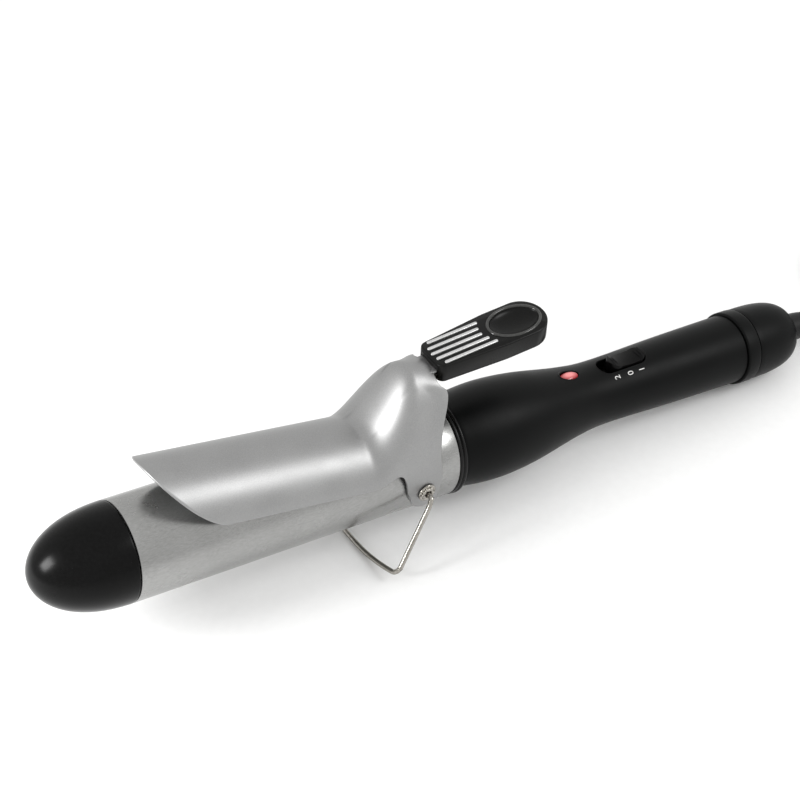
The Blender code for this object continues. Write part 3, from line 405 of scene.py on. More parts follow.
# %% The lead's route
LEAD_OUT = ((208.25, -7.22, 11.28), (211.9, -9.0, 10.85), (215.7, -11.6, 10.1),
            (219.4, -14.6, 9.0), (223.4, -18.0, 7.7), (227.5, -21.4, 6.4), (231.8, -25.1, 5.2),
            (235.6, -28.2, 4.5))
LEAD_TAIL = ((276.2, -41.6, 10.0), (284.3, -42.0, 9.2), (292.0, -41.7, 7.9),
             (298.6, -41.0, 6.4), (305.0, -39.2, 5.2), (313.5, -35.5, 4.1),
             (321.0, -30.0, 3.7), (327.0, -23.0, 4.3), (331.0, -15.5, 5.8),
             (332.9, -8.3, 6.8), (334.1, -2.3, 6.9))
LEAD_RADIUS = 3.0 * MM
COIL_CENTRE = Vector((267.7, 3.9, 0.0)) * MM
COIL_RADII = (45.25 * MM, 20.75 * MM)
LAYER_HEIGHTS = (4.1 * MM, 10.1 * MM)
POINTS_PER_TURN = 14
first_angle = math.radians(-130)
turns = 8 + 40 / 360
layer_step = LAYER_HEIGHTS[1] - LAYER_HEIGHTS[0]

lead_points = [iron_place @ boot_point(boot_length - 5 * MM)]
lead_points += [Vector(p) * MM for p in LEAD_OUT]
coil_steps = round(turns * POINTS_PER_TURN)
for k in range(coil_steps + 1):
    turn = turns * k / coil_steps
    inwards = 1 - abs(2 * turn / turns - 1)
    radius = COIL_RADII[0] + (COIL_RADII[1] - COIL_RADII[0]) * inwards
    height = LAYER_HEIGHTS[0] + layer_step * blend(turns / 2 - 0.5, turns / 2 + 0.5, turn)
    angle = first_angle + 2 * math.pi * turn
    lead_points.append(COIL_CENTRE + Vector((radius * math.cos(angle),
                                             radius * math.sin(angle), height)))
lead_points += [Vector(p) * MM for p in LEAD_TAIL]
lead_length = sum((b - a).length for a, b in zip(lead_points, lead_points[1:]))
print("lead:", len(lead_points), "points, about", round(lead_length, 3), "m long")


# %% The lead as one spline
def bezier_lead(name, points, radius):
    curve = bpy.data.curves.new(name, "CURVE")
    curve.dimensions = "3D"
    curve.bevel_depth = radius
    curve.bevel_resolution = 5
    curve.resolution_u = 6
    curve.use_fill_caps = True
    spline = curve.splines.new("BEZIER")
    spline.bezier_points.add(len(points) - 1)
    for k, point in enumerate(points):
        before = points[max(k - 1, 0)]
        after = points[min(k + 1, len(points) - 1)]
        along = (after - before).normalized()
        knot = spline.bezier_points[k]
        knot.handle_left_type = knot.handle_right_type = "FREE"
        knot.co = point
        knot.handle_left = point - along * (point - before).length / 3
        knot.handle_right = point + along * (after - point).length / 3
    return curve


lead = add_piece("mains_lead", bezier_lead("mains_lead", lead_points, LEAD_RADIUS),
                 "iron", cord_black, ("cord_lead", "cord_coil", "cord_tail"))

# %% The tie round the coil
TIE_ANGLE = math.radians(45)
TIE_WIDTH = 6.0 * MM
TIE_THICKNESS = 0.7 * MM
TIE_MIDDLE = Vector((33.0, 7.2)) * MM
tie_line = in_mm((16.6, 0.5), (46.2, 0.5), (46.6, 2.5), (46.6, 11.8), (46.0, 13.9),
                 (17.0, 13.9), (16.4, 12.0), (16.4, 2.5))
shape = bmesh.new()
sides = []
for side in (-TIE_WIDTH / 2, TIE_WIDTH / 2):
    for inset in (0.0, TIE_THICKNESS):
        loop = []
        for x, z in tie_line:
            pull = (TIE_MIDDLE - Vector((x, z))).normalized() * inset
            loop.append(shape.verts.new((x + pull.x, side, z + pull.y)))
        sides.append(loop)
outer_a, inner_a, outer_b, inner_b = sides
for first, second in ((outer_a, outer_b), (outer_b, inner_b), (inner_b, inner_a),
                      (inner_a, outer_a)):
    for k in range(len(first)):
        after = (k + 1) % len(first)
        shape.faces.new((first[k], first[after], second[after], second[k]))
tie_place = Matrix.Translation(COIL_CENTRE) @ Matrix.Rotation(TIE_ANGLE, 4, "Z")
lead_tie = add_piece("lead_tie", mesh_of(shape, "lead_tie", tie_place), "iron", cord_black,
                     ("cord_tie",))
soften(lead_tie, 0.25 * MM, 2)
print("tie, mm wide:", TIE_WIDTH / MM)

# %% [markdown]
# ## The plug
# A plug is moulded round the end of the lead in one shot: a round neck that grips the vinyl,
# then a flat grip with finger ridges, then the face with two plated pins in dark sleeves.
# A lofted body does it: the same rounded cross-section at each station, only wider or narrower.

# %% Plug body
plug_place = (Matrix.Translation((0.3330, -0.0079, 0.0069))
              @ Matrix.Rotation(math.radians(78.0), 4, "Z"))
PLUG_STATIONS = ((0.0, 5.0, 5.0), (0.6, 5.8, 5.6), (7.0, 6.4, 6.0), (12.6, 7.8, 6.5),
                 (17.0, 11.0, 6.8), (21.0, 13.6, 6.8), (25.2, 15.3, 6.8), (33.0, 15.5, 6.8),
                 (35.2, 15.2, 6.7), (36.0, 14.2, 5.9))


def plug_body_mesh(stations, sides=48):
    line = smooth_line([Vector(s) * MM for s in stations], per_span=5)
    shape = bmesh.new()
    rings = []
    for x, half_width, half_height in line:
        ridge = 1 - 0.045 * max(0.0, math.cos(x / MM * 2 * math.pi / 3.0)) * (
            blend(0.5 * MM, 2 * MM, x) * (1 - blend(11 * MM, 14 * MM, x))
            + 0.6 * blend(20 * MM, 23 * MM, x) * (1 - blend(31 * MM, 33 * MM, x)))
        ring = []
        for k in range(sides):
            angle = 2 * math.pi * k / sides
            c, s = math.cos(angle), math.sin(angle)
            squareness = 0.5 + 0.5 * blend(9 * MM, 20 * MM, x)
            power = 1 / (1 + 1.4 * squareness)
            y = math.copysign(abs(c) ** (2 * power), c) * half_width * ridge
            z = math.copysign(abs(s) ** (2 * power), s) * half_height
            ring.append(shape.verts.new((x, y, z)))
        rings.append(ring)
    shape.faces.new(rings[0])
    shape.faces.new(rings[-1])
    for first, second in zip(rings, rings[1:]):
        for k in range(sides):
            after = (k + 1) % sides
            shape.faces.new((first[k], first[after], second[after], second[k]))
    return crisp(mesh_of(shape, "plug_grip", plug_place), 50)


plug_grip = add_piece("plug_grip", plug_body_mesh(PLUG_STATIONS), "iron", cord_black,
                      ("plug_body",))

# %% Plug pins and their sleeves
PIN_OFFSET = 9.3 * MM
for side, node in ((-1, "plug_pin_left"), (1, "plug_pin_right")):
    axis = plug_place @ Matrix.Translation((0, side * PIN_OFFSET, 0))
    pin = turned(node + "_round", in_mm((35, 0), (35, 2), (53.4, 2), (54.6, 1.6), (55.2, 0.8),
                                        (55.3, 0)), axis, 32)
    sleeve = turned(node + "_sleeve", in_mm((35, 2), (35, 2.25), (45.6, 2.25), (46, 2.02),
                                            (46, 1.9), (35, 1.9)), axis, 32)
    add_piece(node + "_round", pin, "iron", bright_nickel, (node,))
    add_piece(node + "_sleeve", sleeve, "iron", cord_black)

# %% [markdown]
# ## The strain relief
# The strain relief is soft vinyl moulded on the lead. It is smooth where the cap holds it, and
# then has rings cut into it, so that it bends in a wide curve instead of a kink. A swept tube
# whose radius dips at each ring gives it.

# %% Strain relief
BOOT_RADIUS = 6.0 * MM
BOOT_INSIDE = 8.0 * MM
RING_STEP = 3.6 * MM
boot_samples = 150
boot_line = []
boot_radii = []
for k in range(boot_samples + 1):
    length = -BOOT_INSIDE + (boot_length + BOOT_INSIDE) * k / boot_samples
    boot_line.append(boot_point(length))
    taper = BOOT_RADIUS / MM - 1.9 * blend(0, boot_length, length)
    ring = 0.5 + 0.5 * math.cos(2 * math.pi * length / RING_STEP)
    taper -= 0.75 * blend(0.72, 0.92, ring) * blend(9 * MM, 11 * MM, length)
    taper -= 0.7 * blend(boot_length - 0.9 * MM, boot_length, length)
    boot_radii.append(taper * MM / BOOT_RADIUS)
strain_relief = add_piece(
    "strain_relief", swept("strain_relief", boot_line, BOOT_RADIUS, iron_place, boot_radii, 10),
    "iron", cord_black, ("cord_boot",))

# %% [markdown]
# ## Tip cap and barrel
# The tip cap is a blunt bullet of heat-proof plastic, pushed into the barrel. Its outline lies
# between an ellipse and a box, so we take a superellipse. The barrel is a thin tube of rolled
# aluminium with a silver coat. Both are turned; only the tube's ends and the cap's seam need a
# small radius, and the tube has a hole on each side for the hinge.

# %% Tip cap
BARREL_RADIUS = 19.0 * MM
TIP_LENGTH = 33.5 * MM
TIP_FULLNESS = 2.2
dome = []
for k in range(49):
    x = -TIP_LENGTH * math.cos(math.pi / 2 * k / 48)
    share = max(1 - (abs(x) / TIP_LENGTH) ** TIP_FULLNESS, 0.0)
    dome.append((x, BARREL_RADIUS * math.sqrt(share)))
dome[-1:] = in_mm((-0.75, 18.99), (-0.45, 18.93), (-0.25, 18.78), (-0.15, 18.5),
                  (-0.15, 17.65), (8, 17.65), (8, 15.5), (-0.15, 15.5), (-16, 11), (-16, 0))
add_piece("tip_dome", crisp(turned("tip_dome", dome, iron_place), 40), "iron", tip_gloss,
          ("tip_cap",))
print("tip cap profile points:", len(dome))


# %% Barrel tube
PIN_HOLE_RADIUS = 2.6
CUT_REACH = 30.0


def pin_hole(place):
    """A cutter through both sides of the barrel, on the hinge line."""
    return turned("hole", in_mm((-CUT_REACH, 0), (-CUT_REACH, PIN_HOLE_RADIUS),
                                (CUT_REACH, PIN_HOLE_RADIUS), (CUT_REACH, 0)),
                  place @ Matrix.Rotation(math.pi / 2, 4, "Z"), 48)


BARREL_END = 134.2
hinge_place = iron_place @ Matrix.Translation(PIVOT)
barrel = add_piece("barrel", turned("barrel", in_mm(
    (0.15, 18), (0.15, 18.7), (0.25, 18.9), (0.5, 19), (104, 19), (128, 19),
    (BARREL_END - 0.35, 19), (BARREL_END - 0.1, 18.9), (BARREL_END, 18.7), (BARREL_END, 18),
    (128, 18), (104, 18)), iron_place, 160),
    "iron", barrel_silver, ("barrel_tube",))
carve(barrel, pin_hole(hinge_place))
crisp(barrel.data, 40)
print("barrel faces:", len(barrel.data.polygons))

# %% [markdown]
# ## The collar
# Between the hot barrel and the handle sits a heat-proof collar. What shows of it is a narrow
# black ring with a bead and a groove, so its turned profile needs a few small steps.

# %% Collar
collar_profile = [(112.2, 11.0), (112.2, 17.65), (134.5, 17.65), (134.5, 18.55),
                  (134.62, 18.95), (134.9, 19.2), (135.35, 19.3), (135.75, 19.15),
                  (135.95, 18.8), (136.15, 18.7), (136.35, 18.85), (136.5, 19.25),
                  (136.75, 19.48), (137.15, 19.5), (137.45, 19.3), (137.6, 18.9),
                  (137.65, 18.2), (137.7, 17.2), (137.7, 14.75), (151.7, 14.75), (151.7, 11.0)]
collar = add_piece("collar_ring", turned("collar_ring", in_mm(*collar_profile), iron_place),
                   "iron", collar_black, ("heat_collar",))
carve(collar, pin_hole(hinge_place))
crisp(collar.data, 50)
print("collar, mm across:", 2 * max(radius for x, radius in collar_profile))

# %% [markdown]
# ## The handle
# The handle is one hollow moulding: full where the palm closes on it, slim at the fingers, and
# level towards the cord. A smooth line through eight stations gives the outline. Its soft-touch
# paint has a dull sheen. Two openings are cut in the top, one for the lamp and one for the
# switch, and each gets a small rounded lip, because paint builds up on a sharp edge.

# %% Handle outline
HANDLE_X = 138.0 * MM
HANDLE_LENGTH = 145.8 * MM
HANDLE_STATIONS = ((0.0, 17.4), (0.08, 19.1), (0.165, 19.5), (0.27, 18.1), (0.42, 14.4),
                   (0.53, 13.2), (0.76, 14.0), (1.0, 14.5))
handle_line = [(p.x, p.y) for p in smooth_line(
    [(HANDLE_X + share * HANDLE_LENGTH, radius * MM, 0) for share, radius in HANDLE_STATIONS],
    per_span=14)]


def handle_radius(x):
    for (x0, r0), (x1, r1) in zip(handle_line, handle_line[1:]):
        if x0 <= x <= x1:
            return r0 + (r1 - r0) * (x - x0) / (x1 - x0)
    return handle_line[-1][1]


SWITCH_SLOT = (212.3 * MM, 235.9 * MM)
SLOT_WIDTH = 8.6 * MM
LAMP_X = 197.4 * MM
LAMP_SIZE = (9.0 * MM, 4.8 * MM)
print("handle waist, mm across:", round(2 * min(r for x, r in handle_line) / MM, 1))

# %% Handle shell
HANDLE_WALL = 2.2 * MM
COLLAR_SOCKET = 15.1 * MM
handle_end = HANDLE_X + HANDLE_LENGTH
outside = [(x, r) for x, r in handle_line if HANDLE_X + 1.2 * MM < x < handle_end - 0.6 * MM]
front_edge = [(HANDLE_X, COLLAR_SOCKET), (HANDLE_X, 16.4 * MM), (HANDLE_X + 0.12 * MM, 16.95 * MM),
              (HANDLE_X + 0.45 * MM, 17.35 * MM)]
rear_edge = [(handle_end - 0.3 * MM, handle_radius(handle_end) - 0.03 * MM),
             (handle_end, handle_radius(handle_end) - 0.35 * MM),
             (handle_end, handle_radius(handle_end) - HANDLE_WALL)]
inside = [(x, r - HANDLE_WALL) for x, r in outside[::-6] if x > HANDLE_X + 18 * MM]
inside += [(HANDLE_X + 14.6 * MM, COLLAR_SOCKET)]
handle = add_piece("handle", turned("handle", front_edge + outside + rear_edge + inside,
                                    iron_place, 160),
                   "iron", soft_touch, ("handle_shell",))
slot_cut = extruded("slot", oval(*SWITCH_SLOT, SLOT_WIDTH), 4 * MM, 22 * MM, iron_place)
lamp_cut = extruded("lamp hole", ellipse(LAMP_X, LAMP_SIZE[0] + 0.6 * MM,
                                         LAMP_SIZE[1] + 0.6 * MM), 4 * MM, 22 * MM, iron_place)
carve(handle, slot_cut, lamp_cut)
crisp(handle.data, 40)
print("handle faces:", len(handle.data.polygons))


# %% Lips of the two openings
def on_handle(x, y, lift=0.0):
    """The point of the handle's surface above (x, y), lifted along the surface's normal."""
    radius = handle_radius(x)
    angle = math.asin(max(min(y / radius, 1), -1))
    radius += lift
    return Vector((x, radius * math.sin(angle), radius * math.cos(angle)))


def lip(name, outline, radius, sink):
    points = [on_handle(x, y, -sink) for x, y in outline]
    curve = swept(name, points, radius, iron_place, facets=4)
    curve.splines[0].use_cyclic_u = True
    curve.use_fill_caps = False
    return add_piece(name, curve, "iron", soft_touch)


SWITCH_LIP = 0.34 * MM
LAMP_LIP = 0.42 * MM
lip("switch_lip", oval(SWITCH_SLOT[0] - 0.15 * MM, SWITCH_SLOT[1] + 0.15 * MM,
                       SLOT_WIDTH + 0.3 * MM, 24), SWITCH_LIP, 0.26 * MM)
lip("lamp_lip", ellipse(LAMP_X, LAMP_SIZE[0] + 1.0 * MM, LAMP_SIZE[1] + 1.0 * MM), LAMP_LIP,
    0.24 * MM)
print("lips, mm thick:", [round(2 * radius / MM, 2) for radius in (SWITCH_LIP, LAMP_LIP)])

# %% [markdown]
# ## Lamp, slider and switch marks
# The lamp's lens is a red oval dome over a small lamp, with a painted highlight: its red turns
# pale pink in the middle, and these painted colours also give off a faint painted glow. The slider
# is a hard, glossy thumb piece with a hollow and two raised grips, and the printed numbers 2, 0
# and 1 beside it say what each position does. They read with the iron held upright, so they lie on
# their sides along the handle.

# %% Lens finish, with a painted highlight and a painted glow
lens_painted_highlight = bpy.data.materials.new("lamp lens")
lens_painted_highlight.use_nodes = True
nodes = lens_painted_highlight.node_tree.nodes
link = lens_painted_highlight.node_tree.links.new
shader = nodes["Principled BSDF"]
where = nodes.new("ShaderNodeTexCoord")
LENS_FOOT, LENS_RIM, LENS_RISE = 11.3 * MM, 13.5 * MM, 1.4 * MM
lens_middle = iron_place @ Vector((LAMP_X, 0, LENS_RIM + LENS_RISE))
shift = nodes.new("ShaderNodeVectorMath")
shift.operation = "SUBTRACT"
shift.inputs[1].default_value = lens_middle
squeeze = nodes.new("ShaderNodeVectorMath")
squeeze.operation = "MULTIPLY"
squeeze.inputs[1].default_value = (2 / LAMP_SIZE[0], 2 / LAMP_SIZE[1], 0)
spread = nodes.new("ShaderNodeVectorMath")
spread.operation = "LENGTH"
# Painted highlight: pale pink in the middle of the lens, fading to the lens's own deep red at its
# rim.
painted_highlight_ramp = nodes.new("ShaderNodeValToRGB")
painted_highlight_ramp.color_ramp.elements[0].position = 0.30
painted_highlight_ramp.color_ramp.elements[0].color = (0.80, 0.26, 0.26, 1)
painted_highlight_ramp.color_ramp.elements[1].position = 0.86
painted_highlight_ramp.color_ramp.elements[1].color = (0.30, 0.006, 0.012, 1)
link(where.outputs["Object"], shift.inputs[0])
link(shift.outputs["Vector"], squeeze.inputs[0])
link(squeeze.outputs["Vector"], spread.inputs[0])
link(spread.outputs["Value"], painted_highlight_ramp.inputs["Fac"])
link(painted_highlight_ramp.outputs["Color"], shader.inputs["Base Color"])
# The same painted colours give off a faint painted glow.
link(painted_highlight_ramp.outputs["Color"], shader.inputs["Emission Color"])
shader.inputs["Emission Strength"].default_value = 0.12
shader.inputs["Roughness"].default_value = 0.14
print("lens middle, mm:", [round(c * 1000, 1) for c in lens_middle])

# %% Lens
shape = bmesh.new()
rings = []
DOME_STEPS = 12
for k in range(DOME_STEPS):
    angle = math.pi / 2 * k / DOME_STEPS
    size = math.cos(angle)
    rings.append([shape.verts.new((x * size, y * size, LENS_RIM + LENS_RISE * math.sin(angle)))
                  for x, y in ellipse(0, *LAMP_SIZE)])
rings.append([shape.verts.new((0, 0, LENS_RIM + LENS_RISE))])
base = [shape.verts.new((x, y, LENS_FOOT)) for x, y in ellipse(0, *LAMP_SIZE)]
shape.faces.new(base[::-1])
for first, second in zip([base] + rings, rings):
    for k in range(len(first)):
        after = (k + 1) % len(first)
        loop = [first[k], first[after], second[after % len(second)], second[k % len(second)]]
        shape.faces.new(list(dict.fromkeys(loop)))
lens_mesh = mesh_of(shape, "lamp_lens", iron_place @ Matrix.Translation((LAMP_X, 0, 0)))
add_piece("lamp_lens", crisp(lens_mesh, 60), "iron", lens_painted_highlight, ("led_lens",))
print("lens, mm:", [round(s * 1000, 1) for s in LAMP_SIZE])

# %% Slider
SLIDER_LENGTH = 18.0 * MM
SLIDER_WIDTH = 7.4 * MM
SLIDER_TOP = 15.0 * MM
SLIDER_FOOT = 8.6 * MM
SADDLE_RADIUS = 24.0 * MM
saddle_height = SLIDER_TOP + SADDLE_RADIUS - 1.3 * MM
slider_place = iron_place @ Matrix.Translation(
    (SWITCH_SLOT[1] - 0.6 * MM - SLIDER_LENGTH / 2, 0, 0))
slider = add_piece("switch_slider", extruded(
    "switch_slider", oval(-SLIDER_LENGTH / 2, SLIDER_LENGTH / 2, SLIDER_WIDTH),
    SLIDER_FOOT, SLIDER_TOP, slider_place), "switch", tip_gloss, ("switch_knob",))
saddle_place = (slider_place @ Matrix.Translation((0, 0, saddle_height))
                @ Matrix.Rotation(math.pi / 2, 4, "Z"))
carve(slider, turned("saddle", [(-8 * MM, 0), (-8 * MM, SADDLE_RADIUS), (8 * MM, SADDLE_RADIUS),
                                (8 * MM, 0)], saddle_place, 220))
soften(slider, 0.7 * MM, 4, 40)
settle_mesh(slider)
crisp(slider.data, 45)
add_piece("slider_skirt", extruded("slider_skirt", bar(-13.5 * MM, 13.5 * MM, 9.2 * MM),
                                   SLIDER_FOOT, 9.4 * MM, slider_place), "switch", tip_gloss)
add_piece("slider_stem", extruded("slider_stem", bar(-2.4 * MM, 2.4 * MM, 3 * MM),
                                  5.4 * MM, 8.7 * MM, slider_place), "switch", tip_gloss)
print("slider, mm:", round(SLIDER_LENGTH / MM, 1), round(SLIDER_WIDTH / MM, 1))

# %% Grips on the slider
GRIP_RADIUS = 0.34 * MM
GRIP_PLACES = (-7.0, -5.6, 5.6, 7.0)
for row, x in enumerate(GRIP_PLACES):
    z = saddle_height - math.sqrt(SADDLE_RADIUS ** 2 - (x * MM) ** 2)
    half = 1.9 if abs(x) > 6 else 2.3
    grip = swept(f"slider_grip_{row + 1}",
                 [(x * MM, y * MM, z - 0.02 * MM) for y in (-half, -half / 2, 0, half / 2, half)],
                 GRIP_RADIUS, slider_place, [0.5, 1, 1, 1, 0.5], 4)
    add_piece(f"slider_grip_{row + 1}", grip, "switch", tip_gloss)
print("grips:", len(GRIP_PLACES))

# %% Printed numbers
white_print = grained("switch print", (0.60, 0.60, 0.58), (0.80, 0.80, 0.79), (0.5, 0.6), 3000,
                      0.000004)
DIGIT_ANGLE = 29.0
DIGIT_HEIGHT = 2.7 * MM
HEIGHT_SHARE = 0.72
for digit, x_middle in (("2", 217.9), ("0", 224.5), ("1", 230.2)):
    text = bpy.data.curves.new("digit", "FONT")
    text.body = digit
    text.size = DIGIT_HEIGHT / HEIGHT_SHARE
    text.align_x = "CENTER"
    text.extrude = 0.03 * MM
    text.resolution_u = 6
    mesh = mesh_from(text)
    for vertex in mesh.vertices:
        across, along, lift = vertex.co
        x = x_middle * MM - (along - DIGIT_HEIGHT / 2)
        radius = handle_radius(x)
        angle = math.radians(DIGIT_ANGLE) - across / radius
        radius += 0.02 * MM + lift
        vertex.co = iron_place @ Vector((x, -radius * math.sin(angle),
                                         radius * math.cos(angle)))
    add_piece(f"switch_number_{digit}", mesh, "iron", white_print)
print("number height, mm:", round(DIGIT_HEIGHT * 1000, 1))

# %% [markdown]
# ## Rear ring and end cap
# Behind the handle come a proud ring and the end cap, a thimble with a soft shoulder that holds
# the strain relief. They are separate mouldings, so fine dark seams show between them.

# %% Rear ring and end cap
ring_profile = [(276.8, 11.95), (284.1, 11.95), (284.1, 14.75), (284.2, 15.15), (284.5, 15.42),
                (285.0, 15.5), (289.9, 15.5), (290.4, 15.42), (290.65, 15.2), (290.7, 14.9),
                (290.7, 10.35), (276.8, 10.35)]
rear_ring = crisp(turned("rear_ring", in_mm(*ring_profile), iron_place), 50)
add_piece("rear_ring", rear_ring, "iron", soft_touch, ("end_ring",))

CAP_X = 291.0 * MM
CAP_LENGTH = 25.8 * MM
CAP_RADIUS = 15.3 * MM
HOLE = 6.3 * MM
cap_profile = [(CAP_X, 10 * MM), (CAP_X, CAP_RADIUS - 0.5 * MM),
               (CAP_X + 0.12 * MM, CAP_RADIUS - 0.18 * MM)]
for k in range(1, 41):
    share = math.sin(math.pi / 2 * k / 40) ** 0.9
    rise = max(1 - share ** 3.2, 0) ** (1 / 2.4)
    cap_profile.append((CAP_X + CAP_LENGTH * share, HOLE + (CAP_RADIUS - HOLE) * rise))
cap_profile[-1] = (CAP_END - 0.02 * MM, HOLE + 0.9 * MM)
cap_profile += [(CAP_END - 0.15 * MM, HOLE + 0.25 * MM), (CAP_END - 0.7 * MM, HOLE),
                (CAP_END - 10.8 * MM, HOLE), (CAP_END - 10.8 * MM, 10 * MM)]
end_cap = crisp(turned("rear_cap", cap_profile, iron_place), 50)
add_piece("rear_cap", end_cap, "iron", soft_touch, ("end_cap",))
print("end cap, mm long:", round(CAP_LENGTH * 1000, 1))

# %% [markdown]
# ## The clip
# The clip is one pressed sheet, 1 mm thick. In front it is a half-round plate with a swept nose;
# behind, it swells into a hood that carries the lever, and its two ears reach down to the hinge.
# A grid follows it well: one direction runs from nose to rear edge, the other from the top line
# to the lower edge. The rear edge is flared outwards a little, which stiffens it and catches
# the light. The inner face is the outer one set back by the thickness, and a half-round rim
# joins them. The nose is cut a little askew, further back on the side of the digits.

# %% Clip outline
CLIP_RADIUS = 20.4 * MM
HALF_WRAP = 74.0
HOOD_RISE = 25.1 * MM
HOOD_START, HOOD_FULL = PIVOT.x - 27 * MM, PIVOT.x - 7 * MM
EAR_RADIUS = 7.0 * MM
EAR_FRONT = PIVOT.x - EAR_RADIUS
EAR_SHARE = 0.18
TAIL_DEPTH = 2.2 * MM
NOTCH = 10.5 * MM
PLATE_EDGE = CLIP_RADIUS * math.cos(math.radians(HALF_WRAP))


def clip_low_edge(x):
    """Height of the clip's lower edge above the axis."""
    if x <= EAR_FRONT:
        drop = max((x - EAR_FRONT + NOTCH) / NOTCH, 0) ** 2.4
        return PLATE_EDGE - (PLATE_EDGE + TAIL_DEPTH) * drop
    reach = min(abs(x - PIVOT.x) / EAR_RADIUS, 1.0)
    return -max(EAR_RADIUS * math.sqrt(1 - reach ** 2), TAIL_DEPTH)


print("lower edge at the ear, mm:", round(clip_low_edge(PIVOT.x) * 1000, 1))


# %% Clip section and rear edge
def clip_section(x, share):
    """Point on the clip's outer face: share 0 is the top line, 1 the lower edge."""
    low = clip_low_edge(x)
    height = CLIP_RADIUS + HOOD_RISE * ease(HOOD_START, HOOD_FULL, x)
    if low >= 0:
        angle = share * math.acos(min(low / CLIP_RADIUS, 1.0))
        return CLIP_RADIUS * math.sin(angle), height * math.cos(angle)
    split = 1 - EAR_SHARE * min(-low / EAR_RADIUS, 1.0)
    if share <= split:
        angle = math.pi / 2 * share / split
        return CLIP_RADIUS * math.sin(angle), height * math.cos(angle)
    return CLIP_RADIUS, low * (share - split) / (1 - split)


def clip_rear_edge(share):
    front_of_lever = LEVER_TOP.x - 1.5 * MM
    lip_x = PIVOT.x + 3.0 * MM
    waist = PIVOT.x + 0.6 * MM
    ear = PIVOT.x + EAR_RADIUS * 0.86
    x = front_of_lever + (lip_x - front_of_lever) * ease(0.22, 0.32, share)
    x += (waist - lip_x) * ease(0.30, 0.54, share)
    return x + (ear - waist) * ease(0.46, 0.90, share)


print("hood top, mm:", round(clip_section(PIVOT.x, 0.0)[1] * 1000, 1))

# %% Clip's outer face
ALONG = 150
ACROSS = 44
SHEET = 1.0 * MM
NOSE_X = 5.3 * MM
NOSE_SWEEP = 21.3 * MM
NOSE_SKEW = 9.0
NOSE_POWER = 2.04
FLARE = 2.2 * MM
FLARE_LENGTH = 8 * MM
face = []
for i in range(ALONG + 1):
    row = []
    for j in range(-ACROSS, ACROSS + 1):
        share = math.sin(math.pi / 2 * abs(j) / ACROSS) ** 0.97 if j else 0.0
        off = abs(NOSE_SKEW - math.copysign(share * HALF_WRAP, j)) / (NOSE_SKEW + HALF_WRAP)
        nose = NOSE_X + NOSE_SWEEP * off ** NOSE_POWER
        nose += 4 * MM * (1 - math.sqrt(max(1 - share ** 8, 0)))
        rear = clip_rear_edge(share)
        x = nose + (rear - nose) * (1 - (1 - i / ALONG) ** 1.45)
        y, z = clip_section(x, share)
        flare = ease(rear - FLARE_LENGTH, rear + 2 * MM, x) * FLARE
        flare *= ease(0.05, 0.36, share) * (1 - ease(0.42, 0.75, share))
        lean = math.atan2(y, z)
        y += flare * math.sin(lean)
        z += flare * math.cos(lean)
        row.append(Vector((x - PIVOT.x, math.copysign(y, j) if j else 0, z)))
    face.append(row)
print("clip's widest, mm:", round(2000 * max(p.y for row in face for p in row), 1))

# %% Clip sheet
SIDE = 2 * ACROSS
outward = []
for i in range(ALONG + 1):
    outward.append([(face[min(i + 1, ALONG)][j] - face[max(i - 1, 0)][j]).cross(
        face[i][min(j + 1, SIDE)] - face[i][max(j - 1, 0)]).normalized()
        for j in range(SIDE + 1)])
shape = bmesh.new()
outer = [[shape.verts.new(p) for p in row] for row in face]
inner = [[shape.verts.new(p - n * SHEET) for p, n in zip(*rows)]
         for rows in zip(face, outward)]
for i in range(ALONG):
    for j in range(SIDE):
        shape.faces.new((outer[i][j], outer[i + 1][j], outer[i + 1][j + 1], outer[i][j + 1]))
        shape.faces.new((inner[i][j], inner[i][j + 1], inner[i + 1][j + 1], inner[i + 1][j]))
print("sheet faces:", len(shape.faces))

# %% Clip's rounded rim
RIM_BULGE = 0.32 * MM
border = [(0, j) for j in range(SIDE)] + [(i, SIDE) for i in range(ALONG)]
border += [(ALONG, j) for j in range(SIDE, 0, -1)] + [(i, 0) for i in range(ALONG, 0, -1)]
rim = []
for i, j in border:
    inside = face[min(max(i, 1), ALONG - 1)][min(max(j, 1), SIDE - 1)]
    away = face[i][j] - inside
    away -= outward[i][j] * away.dot(outward[i][j])
    away.normalize()
    bow = [outer[i][j]]
    for angle in (36, 72, 108, 144):
        turn = math.radians(angle)
        bow.append(shape.verts.new(face[i][j] - outward[i][j] * SHEET * (1 - math.cos(turn)) / 2
                                   + away * RIM_BULGE * math.sin(turn)))
    rim.append(bow + [inner[i][j]])
for first, second in zip(rim, rim[1:] + rim[:1]):
    for k in range(5):
        shape.faces.new((first[k], second[k], second[k + 1], first[k + 1]))
clip = add_piece("clip", mesh_of(shape, "clip", clip_place), "clip", clip_silver,
                 ("clip_plate",))
carve(clip, pin_hole(clip_place))
crisp(clip.data, 60)
print("clip faces:", len(clip.data.polygons))

# %% Tongue under the lever
TONGUE_FRONT, TONGUE_REAR, TONGUE_WIDTH = -7.5 * MM, 21.0 * MM, 10.0 * MM
tongue = add_piece("clip_tongue", extruded(
    "clip_tongue", bar(TONGUE_FRONT, TONGUE_REAR, TONGUE_WIDTH), -4.3 * MM, -3.3 * MM,
    lever_place), "clip", clip_silver)
soften(tongue, 0.25 * MM, 2)
print("tongue, mm long:", round((TONGUE_REAR - TONGUE_FRONT) / MM, 1))

# %% [markdown]
# ## The thumb lever
# The lever is a thick, glossy moulding. Five silver ribs stop the thumb from sliding, and an oval
# dish with a raised rim tells it where to press. The body is an extruded outline with its edges
# rounded; the dish and the hollow underside are cut out of it, and ribs and rim are laid on top as
# pieces of their own. The ribs are hot-stamped in another finish; the rim is glossy black plastic,
# painted lighter than the lever as a painted highlight along its edge.

# %% Lever outline
LEVER_LENGTH = 51.3 * MM
LEVER_HEIGHT = 8.0 * MM


